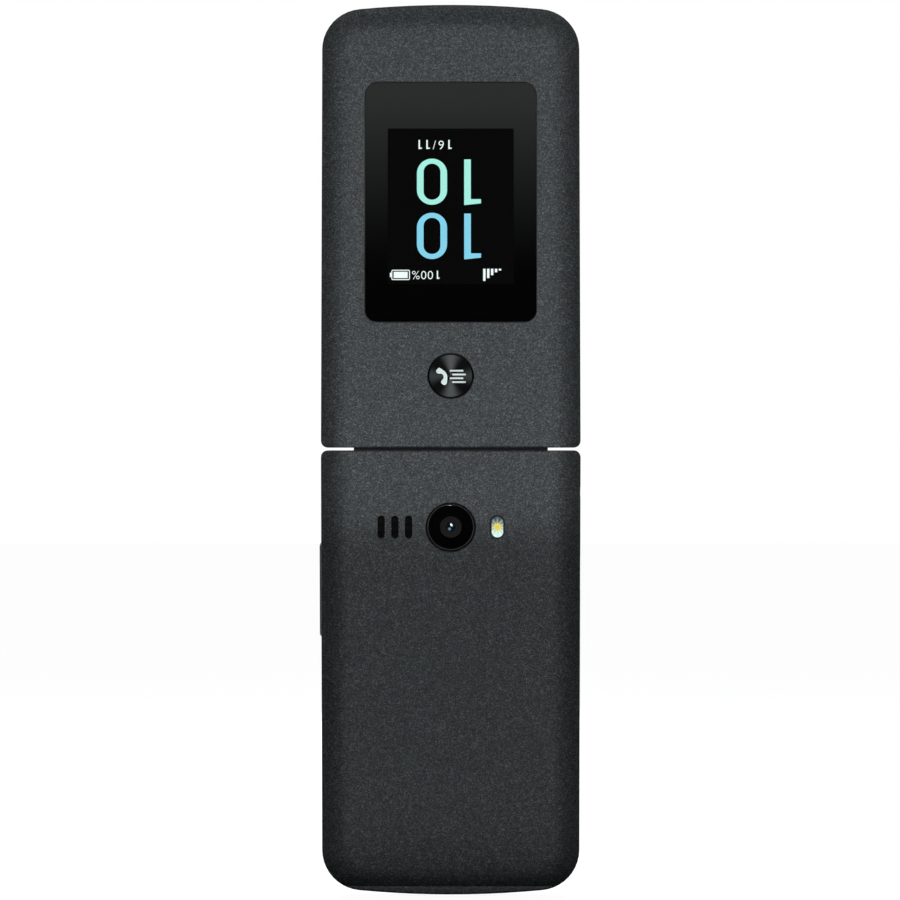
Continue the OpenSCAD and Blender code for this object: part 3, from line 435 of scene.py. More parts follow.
def rim_with_painted_highlight(name, spot, inner_mm):
    """Black turned ring with a painted highlight along the fine bevel at its inner edge."""
    made = Finish(name, Specular_IOR_Level=0.1)
    out = made.away("base", *spot)
    # painted highlight: a pale band on the bevel at the ring's inner edge
    bevel = made.maths("MULTIPLY", made.remap(out, inner_mm - 0.08, inner_mm + 0.02, 0.0, 1.0),
                       made.remap(out, inner_mm + 0.1, inner_mm + 0.2, 1.0, 0.0))
    made.colour(bevel, (0.0012, 0.0013, 0.0013, 1), (0.06, 0.066, 0.066, 1))
    made.gloss(made.noise(0.4), 0.4, 0.5)
    return made.material


def lens_with_painted_glints(name, coating, spot):
    """Coated lens, with two glowing spots painted on as the highlights that its inner elements throw
    back.
    """
    made = Finish(name, Roughness=0.05, Coat_Weight=1.0, Coat_Roughness=0.03)
    middle = made.remap(made.away("base", *spot), 0.3, 1.0, 0, 1)
    made.colour(middle, tint(coating, 0.25), tint(coating))
    x, y, z = spot
    # painted highlights: two spots on the lens that glow, one white and one pale blue
    painted_highlight_spots = [made.remap(made.away("base", x + dx, y + dy, z), near, far, level, 0.0)
              for dx, dy, near, far, level in (
                  (0.24, 0.3, 0.08, 0.3, 0.95), (-0.28, -0.46, 0.05, 0.42, 0.4))]
    made.put("Emission Color", (0.55, 0.8, 1.0, 1))
    made.put("Emission Strength", made.maths("ADD", *painted_highlight_spots))
    return made.material


# ---- shapes, in a half's millimetres ----


def edges_where(bm, test):
    return [e for e in bm.edges if test(*e.verts)]


def soften(bm, edges, width, steps=3):
    bmesh.ops.bevel(
        bm, geom=edges, affect="EDGES", offset=width, offset_type="OFFSET", segments=steps,
        profile=0.5, material=-1, clamp_overlap=True)


def slab(w, h, r, x, y, z0, z1, top=0.0, bottom=0.0, steps=8):
    """Plate with rounded corners; top and bottom round its rims."""
    bm = bmesh.new()
    bmesh.ops.create_cube(
        bm, size=1.0,
        matrix=Matrix.Translation((x, y, (z0 + z1) / 2)) @ Matrix.Diagonal((w, h, z1 - z0, 1)))
    if r:
        soften(bm, edges_where(bm, lambda a, b: abs(a.co.z - b.co.z) > 1e-4), r, steps)
    for z, width in ((z1, top), (z0, bottom)):
        if width:
            soften(bm, edges_where(
                bm, lambda a, b, z=z: abs(a.co.z - z) < 1e-4 and abs(b.co.z - z) < 1e-4), width)
    return bm


def frame_of(w, h, r, line, x, y, z0, z1, end=None):
    """Flat ring with rounded corners, such as a nought; its two ends may have another width."""
    bm = slab(w, h, r, x, y, z0, z1)
    caps = [f for f in bm.faces if abs(f.normal.z) > 0.99]
    rings = [bmesh.ops.inset_region(bm, faces=[cap], thickness=line, depth=0)["faces"] for cap in caps]
    assert all(rings)
    for v in {v for cap in caps for v in cap.verts}:
        v.co.y += math.copysign(line - (end or line), v.co.y - y)
    bmesh.ops.bridge_loops(bm, edges=[e for cap in caps for e in cap.edges])
    bmesh.ops.delete(bm, geom=caps, context="FACES_ONLY")
    return bm


def turned(profile, x, y, steps=72, closed=False, uv=False):
    """Solid turned about an upright axis from (radius, height) points."""
    bm = bmesh.new()
    spots = [bm.verts.new((r, 0, z)) for r, z in profile]
    pairs = list(zip(spots, spots[1:] + spots[:1]))[: None if closed else -1]
    edges = [bm.edges.new(pair) for pair in pairs]
    bmesh.ops.spin(
        bm, geom=spots + edges, cent=(0, 0, 0), axis=(0, 0, 1), angle=math.tau, steps=steps,
        use_merge=True)
    bmesh.ops.remove_doubles(bm, verts=bm.verts, dist=1e-5)
    bmesh.ops.recalc_face_normals(bm, faces=bm.faces)
    if uv:
        unroll(bm, max(r for r, z in profile))
    bmesh.ops.translate(bm, verts=bm.verts, vec=(x, y, 0))
    return bm


def unroll(bm, radius):
    """UV map of a turned piece: radius across, angle up."""
    layer = bm.loops.layers.uv.new("turned")
    for face in bm.faces:
        middle = face.calc_center_median()
        mean = math.atan2(middle.y, middle.x)
        for loop in face.loops:
            co = loop.vert.co
            angle = mean if co.xy.length < 1e-5 else math.atan2(co.y, co.x)
            angle += math.tau * round((mean - angle) / math.tau)
            loop[layer].uv = (co.xy.length / radius, angle / math.tau)


def from_curve(curve):
    """Mesh of a curve or text, taken once and without the object."""
    holder = bpy.data.objects.new("holder", curve)
    bpy.context.scene.collection.objects.link(holder)
    bpy.context.view_layer.update()
    drawn = holder.evaluated_get(bpy.context.evaluated_depsgraph_get())
    mesh = bpy.data.meshes.new_from_object(drawn)
    bm = bmesh.new()
    bm.from_mesh(mesh)
    bpy.data.objects.remove(holder)
    bpy.data.curves.remove(curve)
    bpy.data.meshes.remove(mesh)
    bmesh.ops.remove_doubles(bm, verts=bm.verts, dist=1e-4)
    return bm


def figures(text, size, thickness, turn=Matrix.Identity(4), at=(0, 0, 0), thinner=0.0):
    """Plain figures as thin solids."""
    curve = bpy.data.curves.new("figures", "FONT")
    curve.body, curve.size, curve.extrude = text, size, thickness / 2
    curve.align_x, curve.align_y, curve.resolution_u = "CENTER", "CENTER", 6
    curve.offset = -thinner
    bm = from_curve(curve)
    bmesh.ops.transform(bm, matrix=Matrix.Translation(at) @ turn, verts=bm.verts)
    return bm


def stroke(points, width, thickness, turn=Matrix.Identity(4), at=(0, 0, 0)):
    """Smooth flat stroke with round ends through (x, y, share of the width)."""
    curve = bpy.data.curves.new("stroke", "CURVE")
    curve.dimensions, curve.bevel_depth, curve.bevel_resolution = "3D", width / 2, 6
    curve.use_fill_caps = True
    line = curve.splines.new("NURBS")
    line.points.add(len(points) - 1)
    line.use_endpoint_u, line.order_u, line.resolution_u = True, 3, 8
    for spot, (x, y, share) in zip(line.points, points):
        spot.co, spot.radius = (x, y, 0, 1), share
    bm = from_curve(curve)
    flat = Matrix.Diagonal((1, 1, thickness / width, 1))
    bmesh.ops.transform(bm, matrix=Matrix.Translation(at) @ turn @ flat, verts=bm.verts)
    return bm


def handset(size, thickness, turn=Matrix.Identity(4), at=(0, 0, 0)):
    """Handset of a telephone, with its two ends to the left."""
    shape = (
        (-0.97, 1.66, 0.1), (-0.92, 1.6, 1.15), (-0.42, 1.4, 1.45), (0.13, 1.24, 0.95),
        (0.71, 0.86, 0.85), (0.97, 0.24, 0.85), (0.93, -0.46, 0.9), (0.67, -1.11, 1.45),
        (0.43, -1.6, 1.15), (0.39, -1.66, 0.1))
    line = [(x * size, y * size, share) for x, y, share in shape]
    return stroke(line, 0.95 * size, thickness, turn, at)


def joined(*parts):
    """One mesh of several."""
    whole = bmesh.new()
    for part in parts:
        mesh = bpy.data.meshes.new("part")
        part.to_mesh(mesh)
        part.free()
        whole.from_mesh(mesh)
        bpy.data.meshes.remove(mesh)
    return whole


# ---- from shape to piece ----


def measure(node, half):
    """Lowest and highest corner of a CAD node in a half's millimetres."""
    back = SEATS[half].inverted()
    spots = [back @ v.co for v in frame["nodes"][node].data.vertices]
    low, high = (Vector(pick(s[i] for s in spots) for i in range(3)) for pick in (min, max))
    return low, high


def centre(low, high):
    return (low.x + high.x) / 2, (low.y + high.y) / 2


def settle(name, bm, like, material, replaces=(), crease=35):
    """Makes the piece from a mesh in its place, and rides it on the body of the node named by like."""
    mesh = bpy.data.meshes.new(name)
    bm.to_mesh(mesh)
    bm.free()
    mesh.shade_smooth()
    mesh.set_sharp_from_angle(angle=math.radians(crease))
    mesh.materials.append(material)
    made = bpy.data.objects.new(name, mesh)
    bpy.context.scene.collection.objects.link(made)
    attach(made, frame["nodes"][like]["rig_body"])
    if replaces:
        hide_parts(*replaces)
    shade = made.modifiers.new("Even shading", "WEIGHTED_NORMAL")
    shade.keep_sharp = True
    return made


def add(name, bm, half, like, slot, material, replaces=(), crease=35):
    """Seats a mesh drawn in a half's millimetres."""
    bmesh.ops.transform(bm, matrix=SEATS[half], verts=bm.verts)
    settle(name, bm, like, material, replaces, crease)


def recast(node, name, material, edge=0.0, crease=30):
    """Smooth copy of a CAD node with its sharp edges rounded, standing for it."""
    bm = bmesh.new()
    bm.from_mesh(frame["nodes"][node].data)
    bmesh.ops.remove_doubles(bm, verts=bm.verts, dist=2e-6)
    bmesh.ops.dissolve_limit(
        bm, angle_limit=math.radians(0.3), verts=bm.verts, edges=bm.edges, delimit={"NORMAL"})
    made = settle(name, bm, node, material, (node,), crease)
    if edge:
        rounding = made.modifiers.new("Rounded edges", "BEVEL")
        rounding.width, rounding.segments = edge, 2
        rounding.limit_method, rounding.angle_limit = "ANGLE", math.radians(40)
        rounding.use_clamp_overlap = True
        made.modifiers.move(1, 0)


def dress(material, *nodes):
    """Gives CAD nodes their finish as they are."""
    for node in nodes:
        slots = frame["nodes"][node].data.materials
        slots.clear()
        slots.append(material)


# ---- operators, one for each group of pieces ----


class BuildStep(bpy.types.Operator):
    bl_options = {"REGISTER", "UNDO"}

    def execute(self, context):
        self.build(context.scene)
        return {"FINISHED"}


class PHONE_OT_casings(BuildStep):
    """Painted covers and the inner frames of both halves"""
    bl_idname = "phone.casings"
    bl_label = "Casings"

    def build(self, scene):
        look = scene.phone_casing
        paint = paint_finish("satin_grey_paint", look)
        inner = inner_plastic_with_painted_shade("inner_plastic", look.inner)
        for node, name in (("lid_outer_cover", "lid_cover"), ("battery_cover", "back_cover")):
            recast(node, name, paint, look.edge)
        for node, name in (("lid_front_frame", "lid_frame"), ("base_front_housing", "base_frame")):
            recast(node, name, inner, look.edge)


class PHONE_OT_outer_display(BuildStep):
    """Outer window and what its display shows, which reads the right way up when the phone is shut"""
    bl_idname = "phone.outer_display"
    bl_label = "Outer display"

    def build(self, scene):
        look = scene.phone_display
        low, high = measure("outer_display_window", "lid")
        w, h, (x, y) = high.x - low.x, high.y - low.y, centre(low, high)
        black = glass_finish("window_glass", look.glass, face=("lid", high.z, 1))
        add("outer_window", slab(w, h, 2.85, x, y, low.z, high.z, top=0.22, steps=12), "lid",
            "outer_display_window", "display_glass", black, ("outer_display_window",))
        dark = Finish("unlit_pixels", Roughness=0.5, Specular_IOR_Level=0.02)
        dark.colour(dark.noise(0.2), (0.0002, 0.0003, 0.0002, 1), (0.0006, 0.0008, 0.0007, 1))
        face = high.z + 0.005
        lcd_w, lcd_h, lcd_up, date_up, charge_up = 28.0, 35.25, 53.4, 67.39, 37.86
        add("outer_lcd", slab(lcd_w, lcd_h, 0.25, 0.0, lcd_up, high.z - 0.03, face), "lid",
            "outer_display_window", "display_panel", dark.material)
        under, lit = face - 0.01, face + 0.015
        mid, thick = (under + lit) / 2, lit - face + 0.01
        place = {"half": "lid", "like": "outer_display_window", "slot": "display_panel"}
        big, wide, line, end = (
            size / MM for size in (
                look.figure_height, look.figure_width, look.figure_stroke, look.figure_end))
        for name, colour, middle in (("hours", look.hours, 58.94), ("minutes", look.minutes, 46.65)):
            nought = frame_of(wide, big, wide / 2 - 0.02, line, -4.16, middle, under, lit, end)
            one = self.one(3.72, middle - 0.09, big - 0.18, line, 2.3, under, lit, end + 0.14)
            glow = lit_finish("lit_" + name, colour)
            add("display_" + name, joined(nought, *one), material=glow, **place)
        white = lit_finish("lit_white", (0.87, 0.97, 0.95))
        date = [figures(mark, 2.9, thick, UPSIDE_DOWN, (x, date_up, mid), 0.03)
                for mark, x in (("6", -2.12), ("/", -3.65))]
        charge = [figures(mark, 2.75, thick, UPSIDE_DOWN, (x, charge_up + 0.04, mid), 0.03)
                  for mark, x in (("0", -4.52), ("0", -6.0), ("%", -7.73))]
        for x in (-0.39, -5.27, -7.0):
            date += self.one(x, date_up, 2.05, 0.32, 0.5, under, lit)
        charge += self.one(-2.95, charge_up, 1.85, 0.28, 0.4, under, lit)
        add("display_date", joined(*date), material=white, **place)
        add("display_charge", joined(*charge), material=white, **place)
        x, y = -11.1, charge_up - 0.03
        add("display_battery", joined(
            frame_of(4.1, 2.3, 0.35, 0.2, x, y, under, lit),
            slab(3.1, 1.42, 0.12, x, y, under, lit),
            slab(0.3, 1.0, 0.1, x - 2.22, y, under, lit)), material=white, **place)
        bars = [slab(0.54, tall, 0.08, 7.44 + 0.866 * i, 39.22 - tall / 2, under, lit)
                for i, tall in enumerate((2.75, 2.1, 1.45, 0.8, 0.4))]
        add("display_signal", joined(*bars), material=white, **place)

    @staticmethod
    def one(x, y, tall, line, flag, z0, z1, foot_line=None):
        """Figure 1, upside down: a bar and a flag that share one slanting foot."""
        foot, thick = y - tall / 2, foot_line or line
        parts = (slab(line, tall, 0, x, y, z0, z1),
                 slab(flag, thick, 0, x + (line + flag) / 2 - 0.05, foot + thick / 2, z0, z1))
        for part in parts:
            for v in part.verts:
                if v.co.y < foot + 0.01:
                    v.co.y += 0.107 * (v.co.x - x)
        return parts


class PHONE_OT_round_key(BuildStep):
    """Spun metal key on the lid, with its mark of a handset and a list"""
    bl_idname = "phone.round_key"
    bl_label = "Round key"

    def build(self, scene):
        look = scene.phone_keys
        low, high = measure("call_list_key", "lid")
        x, y = centre(low, high)
        foot, top, rim = low.z, high.z, ROUND_KEY_RADIUS
        flange = rim + 0.9
        profile = [(0, foot), (1.2, foot), (1.2, foot + 0.5), (flange, foot + 0.5),
                   (flange, foot + 0.88), (rim + 0.15, foot + 0.9), (rim + 0.15, top - 0.42),
                   (rim, top - 0.38), (rim, top - 0.14), (rim - 0.05, top - 0.04),
                   (rim - 0.16, top), (rim - 0.3, top - 0.03), (0, top - 0.03)]
        spun = spun_metal_with_painted_reflection("spun_black_metal", look.spun, flange, rim)
        add("round_key", turned(profile, x, y, 96, uv=True), "lid", "call_list_key",
            "spun_black_metal", spun, ("call_list_key",), crease=25)
        mark = moulded("key_mark", (0.62, 0.70, 0.68), 0.45, 0.2, 0.002)
        flat = top - 0.005
        lines = [slab(3.05, 0.38, 0.18, 1.28 + 0.55 * (i % 2), y + 1.19 - 0.85 * i, flat - 0.05, flat)
                 for i in range(4)]
        handle = handset(1.0, 0.05, at=(-2.13, y - 0.24, flat - 0.02))
        add("round_key_mark", joined(handle, *lines), "lid", "call_list_key", "key_plastic", mark)


class PHONE_OT_camera_row(BuildStep):
    """Loudspeaker, camera and flash across the back"""
    bl_idname = "phone.camera_row"
    bl_label = "Camera row"

    def build(self, scene):
        look = scene.phone_camera
        low, high = measure("camera_window", "base")
        r, (x, y) = (high.x - low.x) / 2, centre(low, high)
        recast("camera_ring", "camera_bezel",
               rim_with_painted_highlight("camera_rim", (x, y, high.z), r), 0.0, 25)
        clear, lens, top = look.barrel_r / MM, look.lens_r / MM, high.z
        printed = glass_finish("camera_glass", (0.0012, 0.0014, 0.0013), 0.05)
        add("camera_glass", turned(
            [(clear, low.z), (r, low.z), (r, top - 0.08), (r - 0.05, top - 0.02), (r - 0.12, top),
             (clear + 0.05, top), (clear, top - 0.05)], x, y, closed=True),
            "base", "camera_window", "lens_glass", printed, ("camera_window",), 25)
        barrel = moulded("lens_barrel", look.barrel, 0.6, 0.3, 0.004, Specular_IOR_Level=0.1)
        add("camera_barrel", turned(
            [(clear - 0.01, low.z), (clear - 0.01, top - 0.16), (clear - 0.22, top - 0.2),
             (clear - 0.3, top - 0.3), (lens + 0.52, top - 0.34), (lens + 0.42, top - 0.44),
             (lens + 0.1, top - 0.47), (lens + 0.1, low.z)], x, y, closed=True),
            "base", "camera_window", "lens_glass", barrel, crease=25)
        dome = [(0, low.z), (lens + 0.09, low.z), (lens + 0.09, top - 0.5)]
        dome += [(lens * math.cos(a), top - 0.5 + 0.34 * math.sin(a))
                 for a in (math.pi / 2 * i / 8 for i in range(9))]
        dome[-1] = (0, dome[-1][1])
        add("camera_lens", turned(dome, x, y), "base", "camera_window", "lens_glass",
            lens_with_painted_glints("lens_coating", look.coating, (x, y, top)))

        low, high = measure("flash_lens", "base")
        w, h, (x, y) = high.x - low.x, high.y - low.y, centre(low, high)
        cell = slab(w, h, w / 2 - 0.01, x, y, low.z, high.z, top=0.12, steps=10)
        face = max(cell.faces, key=lambda f: f.calc_center_median().z + f.calc_area() * 0.001)
        rim = bmesh.ops.inset_region(cell, faces=[face], thickness=0.12, depth=-0.1)
        bmesh.ops.poke(cell, faces=[face], offset=-0.45)
        assert rim["faces"]
        add("flash_cell", cell, "base", "flash_lens", "flash_lens",
            flash_with_painted_light("flash_reflector", look.phosphor, w, h, (x, y, high.z)), ("flash_lens",), 20)
        dress(moulded("phosphor", look.phosphor, 0.6), "flash_led")
        dress(mesh_finish("speaker_mesh", (0.004, 0.004, 0.004), 0.3), "loudspeaker_mesh")
        dress(moulded("speaker_case", (0.01, 0.0105, 0.011), 0.5), "loudspeaker", "camera_module")


class PHONE_OT_main_display(BuildStep):
    """Main window and earpiece on the inner face of the lid"""
    bl_idname = "phone.main_display"
    bl_label = "Main display"

    def build(self, scene):
        look = scene.phone_display
        low, high = measure("main_display_window", "lid")
        w, h, (x, y) = high.x - low.x, high.y - low.y, centre(low, high)
        black = glass_finish("main_glass", look.glass, face=("lid", low.z, -1))
        add("main_window", slab(w, h, 3.4, x, y, low.z, high.z, bottom=0.2, steps=12), "lid",
            "main_display_window", "display_glass", black, ("main_display_window",))
        dark = Finish("resting_pixels", Roughness=0.25, Specular_IOR_Level=0.3)
        dark.colour(dark.noise(0.15), (0.0025, 0.003, 0.0035, 1), (0.005, 0.0055, 0.006, 1))
        lcd_w, lcd_h, lcd_up = 43.2, 57.6, 50.0
        add("main_lcd", slab(lcd_w, lcd_h, 0.2, x, lcd_up, low.z - 0.005, low.z + 0.03), "lid",
            "main_display_window", "display_panel", dark.material)
        dress(mesh_finish("earpiece_weave", (0.03, 0.032, 0.033), 0.25), "earpiece_mesh")
        dress(moulded("bumper_rubber", (0.012, 0.012, 0.012), 0.75, 0.3, 0.01), "lid_bumpers")


class PHONE_OT_keypad(BuildStep):
    """Keys, navigation ring and their legends on the inner face of the base"""
    bl_idname = "phone.keypad"
    bl_label = "Keypad"

    def build(self, scene):
        look = scene.phone_keys
        plain = moulded("key_plastic", look.key, 0.38, 0.2, 0.004)
        legend = moulded("key_legend", look.legend, 0.5, 0.2, 0.002)
        green = moulded("call_green", (0.03, 0.42, 0.09), 0.45, 0.2, 0.002)
        red = moulded("end_red", (0.55, 0.02, 0.018), 0.45, 0.2, 0.002)
        marks = {"key_star": "*", "key_hash": "#"}
        numbers = ["key_%d" % n for n in range(10)] + list(marks)
        others = ["left_soft_key", "right_soft_key", "call_key", "clear_key", "end_key"]
        handsets = {"call_key": (20, green), "end_key": (-90, red)}
        for node in numbers + others:
            recast(node, node + "_cap", plain, 0.00004)
            low, high = measure(node, "base")
            x, y = centre(low, high)
            face, thick = low.z - 0.005, PRINT_THICKNESS
            under, over, ink = face - thick / 2, face + thick / 2, legend
            if node in numbers:
                text = marks.get(node, node[-1])
                drop = -0.9 if text == "*" else 0.0
                sign = figures(text, look.figure / MM, thick, FACING_IN, (x, y + drop, face))
            elif node in handsets:
                angle, ink = handsets[node]
                turn = FACING_IN @ Matrix.Rotation(math.radians(angle), 4, "Z")
                sign = handset(0.9, thick, turn, (x, y, face))
            elif node == "clear_key":
                head = [(-1.0, 1.0, 1), (-0.05, 0.05, 1), (-0.05, -0.05, 1), (-1.0, -1.0, 1)]
                sign = joined(slab(2.6, 0.4, 0.15, x, y, under, over),
                              stroke(head, 0.4, thick, at=(x + 1.3, y, face)))
            else:
                sign = slab(4.2, 0.55, 0.25, x, y, under, over)
            add(node + "_legend", sign, "base", node, "key_plastic", ink)
        satin = moulded("ring_plastic", tuple(c * 1.5 for c in look.key), 0.3, 0.2, 0.003)
        recast("navigation_ring", "navigation_ring_cap", satin, 0.0, 25)
        recast("ok_key", "ok_key_cap", plain, 0.0, 25)
        recast("navigation_pad", "navigation_plate", plain)
        low, high = measure("navigation_ring", "base")
        x, y = centre(low, high)
        face = low.z - 0.005
        dot = [(0, face + 0.04), (0.42, face + 0.04), (0.42, face), (0.3, face - 0.02), (0, face - 0.02)]
        out = 7.1
        dots = [turned(dot, x + out * math.cos(a), y + out * math.sin(a), 20)
                for a in (math.tau * i / 4 for i in range(4))]
        add("navigation_dots", joined(*dots), "base", "navigation_ring", "key_plastic", legend)
        dress(metal_finish("dome_foil", (0.36, 0.38, 0.39), 0.4), "keypad_dome_sheet")


class PHONE_OT_hinge(BuildStep):
    """Pins, cartridge, end caps, washers and ribbon of the hinge"""
    bl_idname = "phone.hinge"
    bl_label = "Hinge"

    def build(self, scene):
        steel = metal_finish("hinge_steel", (0.42, 0.43, 0.44), 0.28, 0.3)
        dress(steel, "hinge_shafts", "hinge_cartridge")
        caps = moulded("cap_plastic", scene.phone_casing.inner, 0.36, 0.2, 0.004)
        recast("hinge_end_caps", "hinge_caps", caps, 0.00008)
        bore, rim, half = 2.9, 3.75, 0.09
        washer = [(bore, -half), (rim, -half), (rim, half), (bore, half)]
        turn = Matrix.Rotation(math.pi / 2, 4, "Y")
        washers = []
        for x in (-13.95, -4.65, 4.65, 13.95):
            ring = turned(washer, 0, 0, 48, closed=True)
            bmesh.ops.transform(ring, matrix=Matrix.Translation((x, 0, 0)) @ turn, verts=ring.verts)
            washers.append(ring)
        add("hinge_washers", joined(*washers), "base", "base_front_housing", "end_cap_plastic",
            moulded("washer_black", (0.003, 0.003, 0.003), 0.8, 0.2, 0.002, Specular_IOR_Level=0.05))
        dress(moulded("ribbon_film", (0.36, 0.12, 0.02), 0.35, 1.2, 0.002, 0.2), "hinge_flex")


class PHONE_OT_sides(BuildStep):
    """Volume key and sockets along the sides"""
    bl_idname = "phone.sides"
    bl_label = "Side key and sockets"

    def build(self, scene):
        look = scene.phone_casing
        recast("volume_key", "volume_rocker",
               moulded("side_key_plastic", tuple(c * 0.8 for c in look.paint), 0.4, 0.2, 0.004), 0.00012)
        low, high = measure("volume_key", "base")
        y, z = (low.y + high.y) / 2, (low.z + high.z) / 2
        marks = moulded("rocker_marks", tuple(c * 2.2 for c in look.paint), 0.5, 0.2, 0.002)
        x = low.x + 0.005
        signs = joined(
            slab(0.04, 1.3, 0, x, y + 6.5, z - 0.09, z + 0.09),
            slab(0.04, 0.18, 0, x, y + 6.5, z - 0.65, z + 0.65),
            slab(0.04, 1.3, 0, x, y - 6.5, z - 0.09, z + 0.09))
        add("volume_marks", signs, "base", "volume_key", "casing_paint", marks)
        recast("headphone_jack", "headphone_socket",
               moulded("socket_plastic", (0.008, 0.008, 0.009), 0.35, 0.2, 0.003))
        recast("charging_port", "charging_socket",
               metal_finish("socket_shell", (0.55, 0.56, 0.57), 0.25, 0.4))


class PHONE_OT_inside(BuildStep):
    """What shows when the battery cover is lifted off, and the works behind the displays"""
    bl_idname = "phone.inside"
    bl_label = "Inside"

    def build(self, scene):
        bay = moulded("chassis_plastic", (0.012, 0.0125, 0.013), 0.55, 0.3, 0.008)
        dress(bay, "base_rear_housing")
        steel = metal_finish("sheet_metal", (0.50, 0.51, 0.52), 0.35, 0.7)
        dress(steel, "shield_cans", "sim_card_holder", "display_chassis", "earpiece_receiver",
              "vibration_motor", "volume_switches", "lid_magnet")
        screws = metal_finish("screw_steel", (0.30, 0.31, 0.32), 0.3, 0.2)
        dress(screws, "base_screws", "lid_screws")
        boards = board_finish("circuit_board", (0.012, 0.085, 0.035))
        dress(boards, "main_circuit_board", "lid_circuit_board")
        dress(metal_finish("contact_gold", (0.80, 0.55, 0.22), 0.25, 0.3), "battery_contacts")
        backs = moulded("panel_back", (0.006, 0.006, 0.007), 0.4)
        dress(backs, "outer_display_panel", "main_display_panel")
        dress(moulded("battery_wrap", (0.05, 0.052, 0.055), 0.45, 0.4, 0.004), "battery")
        low, high = measure("battery", "base")
        x, y = centre(low, high)
        face = high.z
        pale = moulded("battery_band", (0.22, 0.23, 0.24), 0.5, 0.4, 0.003)
        add("battery_stripe", slab(40.0, 3.0, 0.6, x, y + 12.0, face - 0.02, face + 0.02), "base",
            "battery", "battery_wrap", pale)


class PHONE_OT_stage(BuildStep):
    """Floor, lights, world and the camera of the photograph"""
    bl_idname = "phone.stage"
    bl_label = "Stage"

    def build(self, scene):
        look = scene.phone_stage
        scene.view_settings.view_transform = "Standard"
        self.floor()
        self.world(scene)
        self.card()
        self.tent()
        away, high_edge, reach = 0.5, 0.235, 0.16
        self.beam("upper_beam", look.key_level, away, 0.082, high_edge, reach, 1.7)
        self.beam("lower_beam", look.low_level, away, 0.004, high_edge, reach, 4.3)
        self.lamp("top_light", look.top_level, (0, 0.35, 1.1), (0, 0, 0.1), 0.6)
        self.lamp("back_light", look.back_level, (0, 1.0, 0.45), (0, 0, 0.1), 0.7)
        for side in (-1, 1):
            self.lamp("side_light", look.side_level, (0.8 * side, 0.45, 0.3), (0, 0, 0.1), 0.5)
        self.camera(scene, look)

    def floor(self):
        made = Finish("pale_floor", Roughness=0.9, Specular_IOR_Level=0.0)
        made.colour(made.noise(40.0), (0.18, 0.18, 0.18, 1), (0.19, 0.19, 0.19, 1))
        made.put("Emission Color", (1, 1, 1, 1))
        made.put("Emission Strength", made.maths("MULTIPLY", made.seen(), 0.94))
        self.put_up("floor", self.sheet(Matrix.Diagonal((6.0, 6.0, 1, 1))), made.material)

    def world(self, scene):
        """White where it is seen, straight or in metal and glass; else a soft light from all round."""
        world = bpy.data.worlds.new("studio")
        world.use_nodes = True
        scene.world = world
        sky = Nodes(world.node_tree)
        back = world.node_tree.nodes["Background"]
        seen = sky.seen()
        sky.feed(back.inputs["Color"], sky.blend(seen, (0.93, 1.0, 1.0, 1), (1, 1, 1, 1)))
        level = sky.node("ShaderNodeMix", ("Factor", seen), (2, scene.phone_stage.ambient), (3, 1.0),
                         data_type="FLOAT")
        sky.feed(back.inputs["Strength"], level.outputs[0])

    def tent(self):
        """Black cloth round the camera and on the table, which gloss shows and nothing else."""
        away, low, half_turn = 0.55, 0.002, 105
        bm = self.sheet(Matrix.Translation((0, -0.2, low)) @ Matrix.Diagonal((away, 0.35, 1, 1)))
        foot, rim = (bm.verts.new((0, -away, z)) for z in (low, 1.6))
        wall = bm.edges.new((foot, rim))
        bmesh.ops.rotate(bm, verts=[foot, rim], matrix=Matrix.Rotation(math.radians(-half_turn), 3, "Z"))
        bmesh.ops.spin(bm, geom=[foot, rim, wall], cent=(0, 0, 0), axis=(0, 0, 1),
                       angle=math.radians(2 * half_turn), steps=42)
        cloth = moulded("black_cloth", (0.001, 0.001, 0.001), 1.0, 1.0, 0.01, Specular_IOR_Level=0.0)
        self.hide(self.put_up("black_tent", bm, cloth))

    def card(self):
        """Soft card above the camera that the outer window reflects at its far end."""
        made = Finish("card_glow", Roughness=1.0, Specular_IOR_Level=0.0)
        made.put("Base Color", (0, 0, 0, 1))
        made.put("Emission Color", (0.93, 1.0, 1.0, 1))
        rise = made.remap(made.axes(made.place)["Z"], 0.290, 0.346, 0.0, 1.0)
        level = made.maths("MULTIPLY", made.maths("POWER", rise, 1.7), 0.64)
        made.put("Emission Strength", level)
        bm = self.sheet(Matrix.Translation((0, -0.40, 0.36)) @ Matrix.Rotation(math.pi / 2, 4, "X")
                        @ Matrix.Diagonal((0.12, 0.08, 1, 1)))
        self.hide(self.put_up("window_card", bm, made.material))

    @staticmethod
    def sheet(matrix):
        """Square of 2 m by 2 m, placed and stretched."""
        bm = bmesh.new()
        bmesh.ops.create_grid(bm, x_segments=1, y_segments=1, size=1.0, matrix=matrix)
        return bm

    @staticmethod
    def put_up(name, bm, material):
        """Puts up a piece of the stage."""
        mesh = bpy.data.meshes.new(name)
        bm.to_mesh(mesh)
        bm.free()
        mesh.materials.append(material)
        made = bpy.data.objects.new(name, mesh)
        bpy.context.scene.collection.objects.link(made)
        return made

    @staticmethod
    def hide(made):
        """Leaves a piece of the stage to gloss and glass alone."""
        made.visible_camera = made.visible_shadow = made.visible_diffuse = False

    @staticmethod
    def light(name, size, size_y, power, spot, aim):
        lamp = bpy.data.lights.new(name, "AREA")
        lamp.shape, lamp.size, lamp.size_y, lamp.energy = "RECTANGLE", size, size_y, power
        made = bpy.data.objects.new(name, lamp)
        made.location = spot
        made.rotation_euler = (Vector(aim) - Vector(spot)).to_track_quat("-Z", "Y").to_euler()
        bpy.context.scene.collection.objects.link(made)
        return made

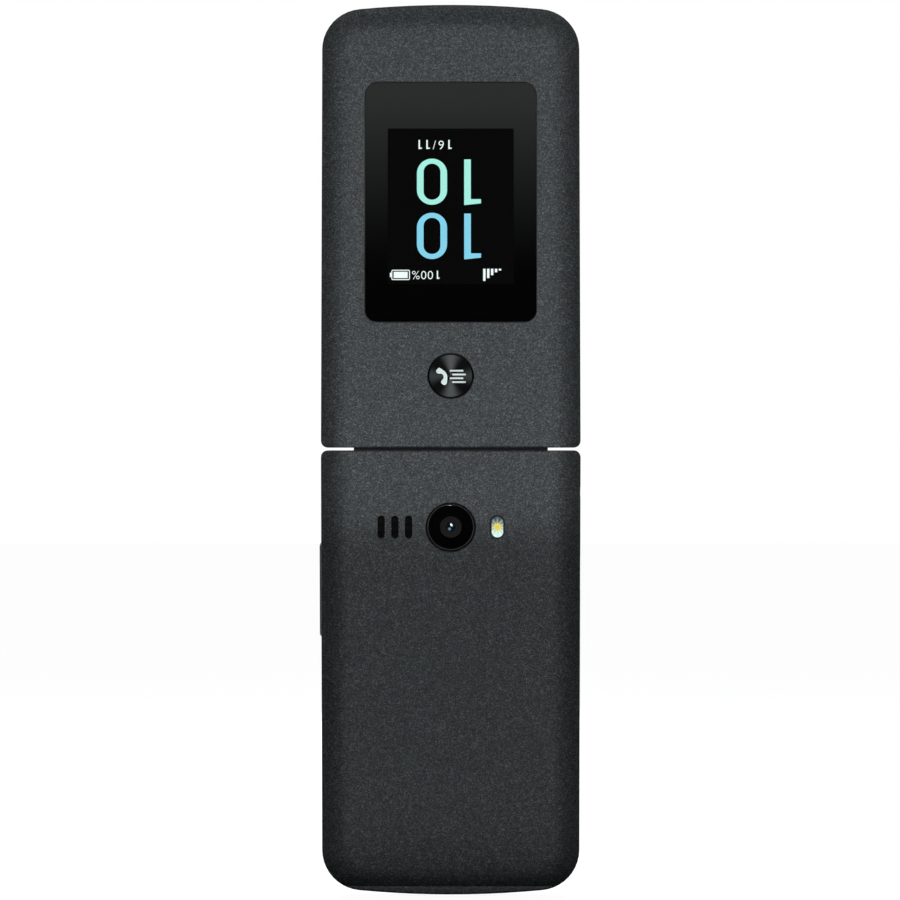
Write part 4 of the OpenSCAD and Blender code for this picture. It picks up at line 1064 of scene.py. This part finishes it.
    def beam(self, name, level, away, low, high, wide, spread):
        """Even light along the camera's axis between two heights, soft at its edges."""
        z = (low + high) / 2
        made = self.light(name, wide, high - low, math.pi * level * wide * (high - low),
                          (0, -away, z), (0, 0, z))
        made.data.spread = math.radians(spread)

    def lamp(self, name, level, spot, aim, size):
        """Large soft light that gives about that level on a face turned to it, and no highlight."""
        far = (Vector(aim) - Vector(spot)).length
        power = level * math.pi ** 2 * (far ** 2 + size ** 2 / 4)
        made = self.light(name, size, size, power, spot, aim)
        made.visible_glossy = False

    def camera(self, scene, look):
        lens = bpy.data.cameras.new("photo_camera")
        lens.lens, lens.sensor_width = look.lens, 36.0
        camera = bpy.data.objects.new("photo_camera", lens)
        # millimetres from the hinge axis: less than one pixel aside and down, and out to the lid's face
        aside, down, lid_face = -0.166, -0.22, LID_THICKNESS * math.cos(LEAN) + 2.17
        camera.location = HINGE_POINT + Vector(
            (aside * MM, -lid_face * MM - look.distance, down * MM))
        camera.rotation_euler = (math.pi / 2, 0, 0)
        scene.collection.objects.link(camera)
        scene.camera = camera


class PHONE_PT_panel(bpy.types.Panel):
    """Steps that build the phone, and what can be changed first"""
    bl_idname = "PHONE_PT_panel"
    bl_label = "Flip phone"
    bl_space_type = "VIEW_3D"
    bl_region_type = "UI"
    bl_category = "Flip phone"

    def draw(self, context):
        for key, group in GROUPS.items():
            box = self.layout.box()
            for name in group.__annotations__:
                box.prop(getattr(context.scene, key), name)
        for step in STEPS:
            self.layout.operator(step.bl_idname)


STEPS = (
    PHONE_OT_casings, PHONE_OT_outer_display, PHONE_OT_round_key, PHONE_OT_camera_row,
    PHONE_OT_main_display, PHONE_OT_keypad, PHONE_OT_hinge, PHONE_OT_sides, PHONE_OT_inside,
    PHONE_OT_stage,
)


def register():
    for made in (*GROUPS.values(), *STEPS, PHONE_PT_panel):
        bpy.utils.register_class(made)
    for key, group in GROUPS.items():
        setattr(bpy.types.Scene, key, bpy.props.PointerProperty(type=group))


def unregister():
    for key in GROUPS:
        delattr(bpy.types.Scene, key)
    for made in (PHONE_PT_panel, *reversed(STEPS), *GROUPS.values()):
        bpy.utils.unregister_class(made)


def main():
    register()
    for step in STEPS:
        group, name = step.bl_idname.split(".")
        getattr(getattr(bpy.ops, group), name)()


if __name__ == "__main__":
    main()
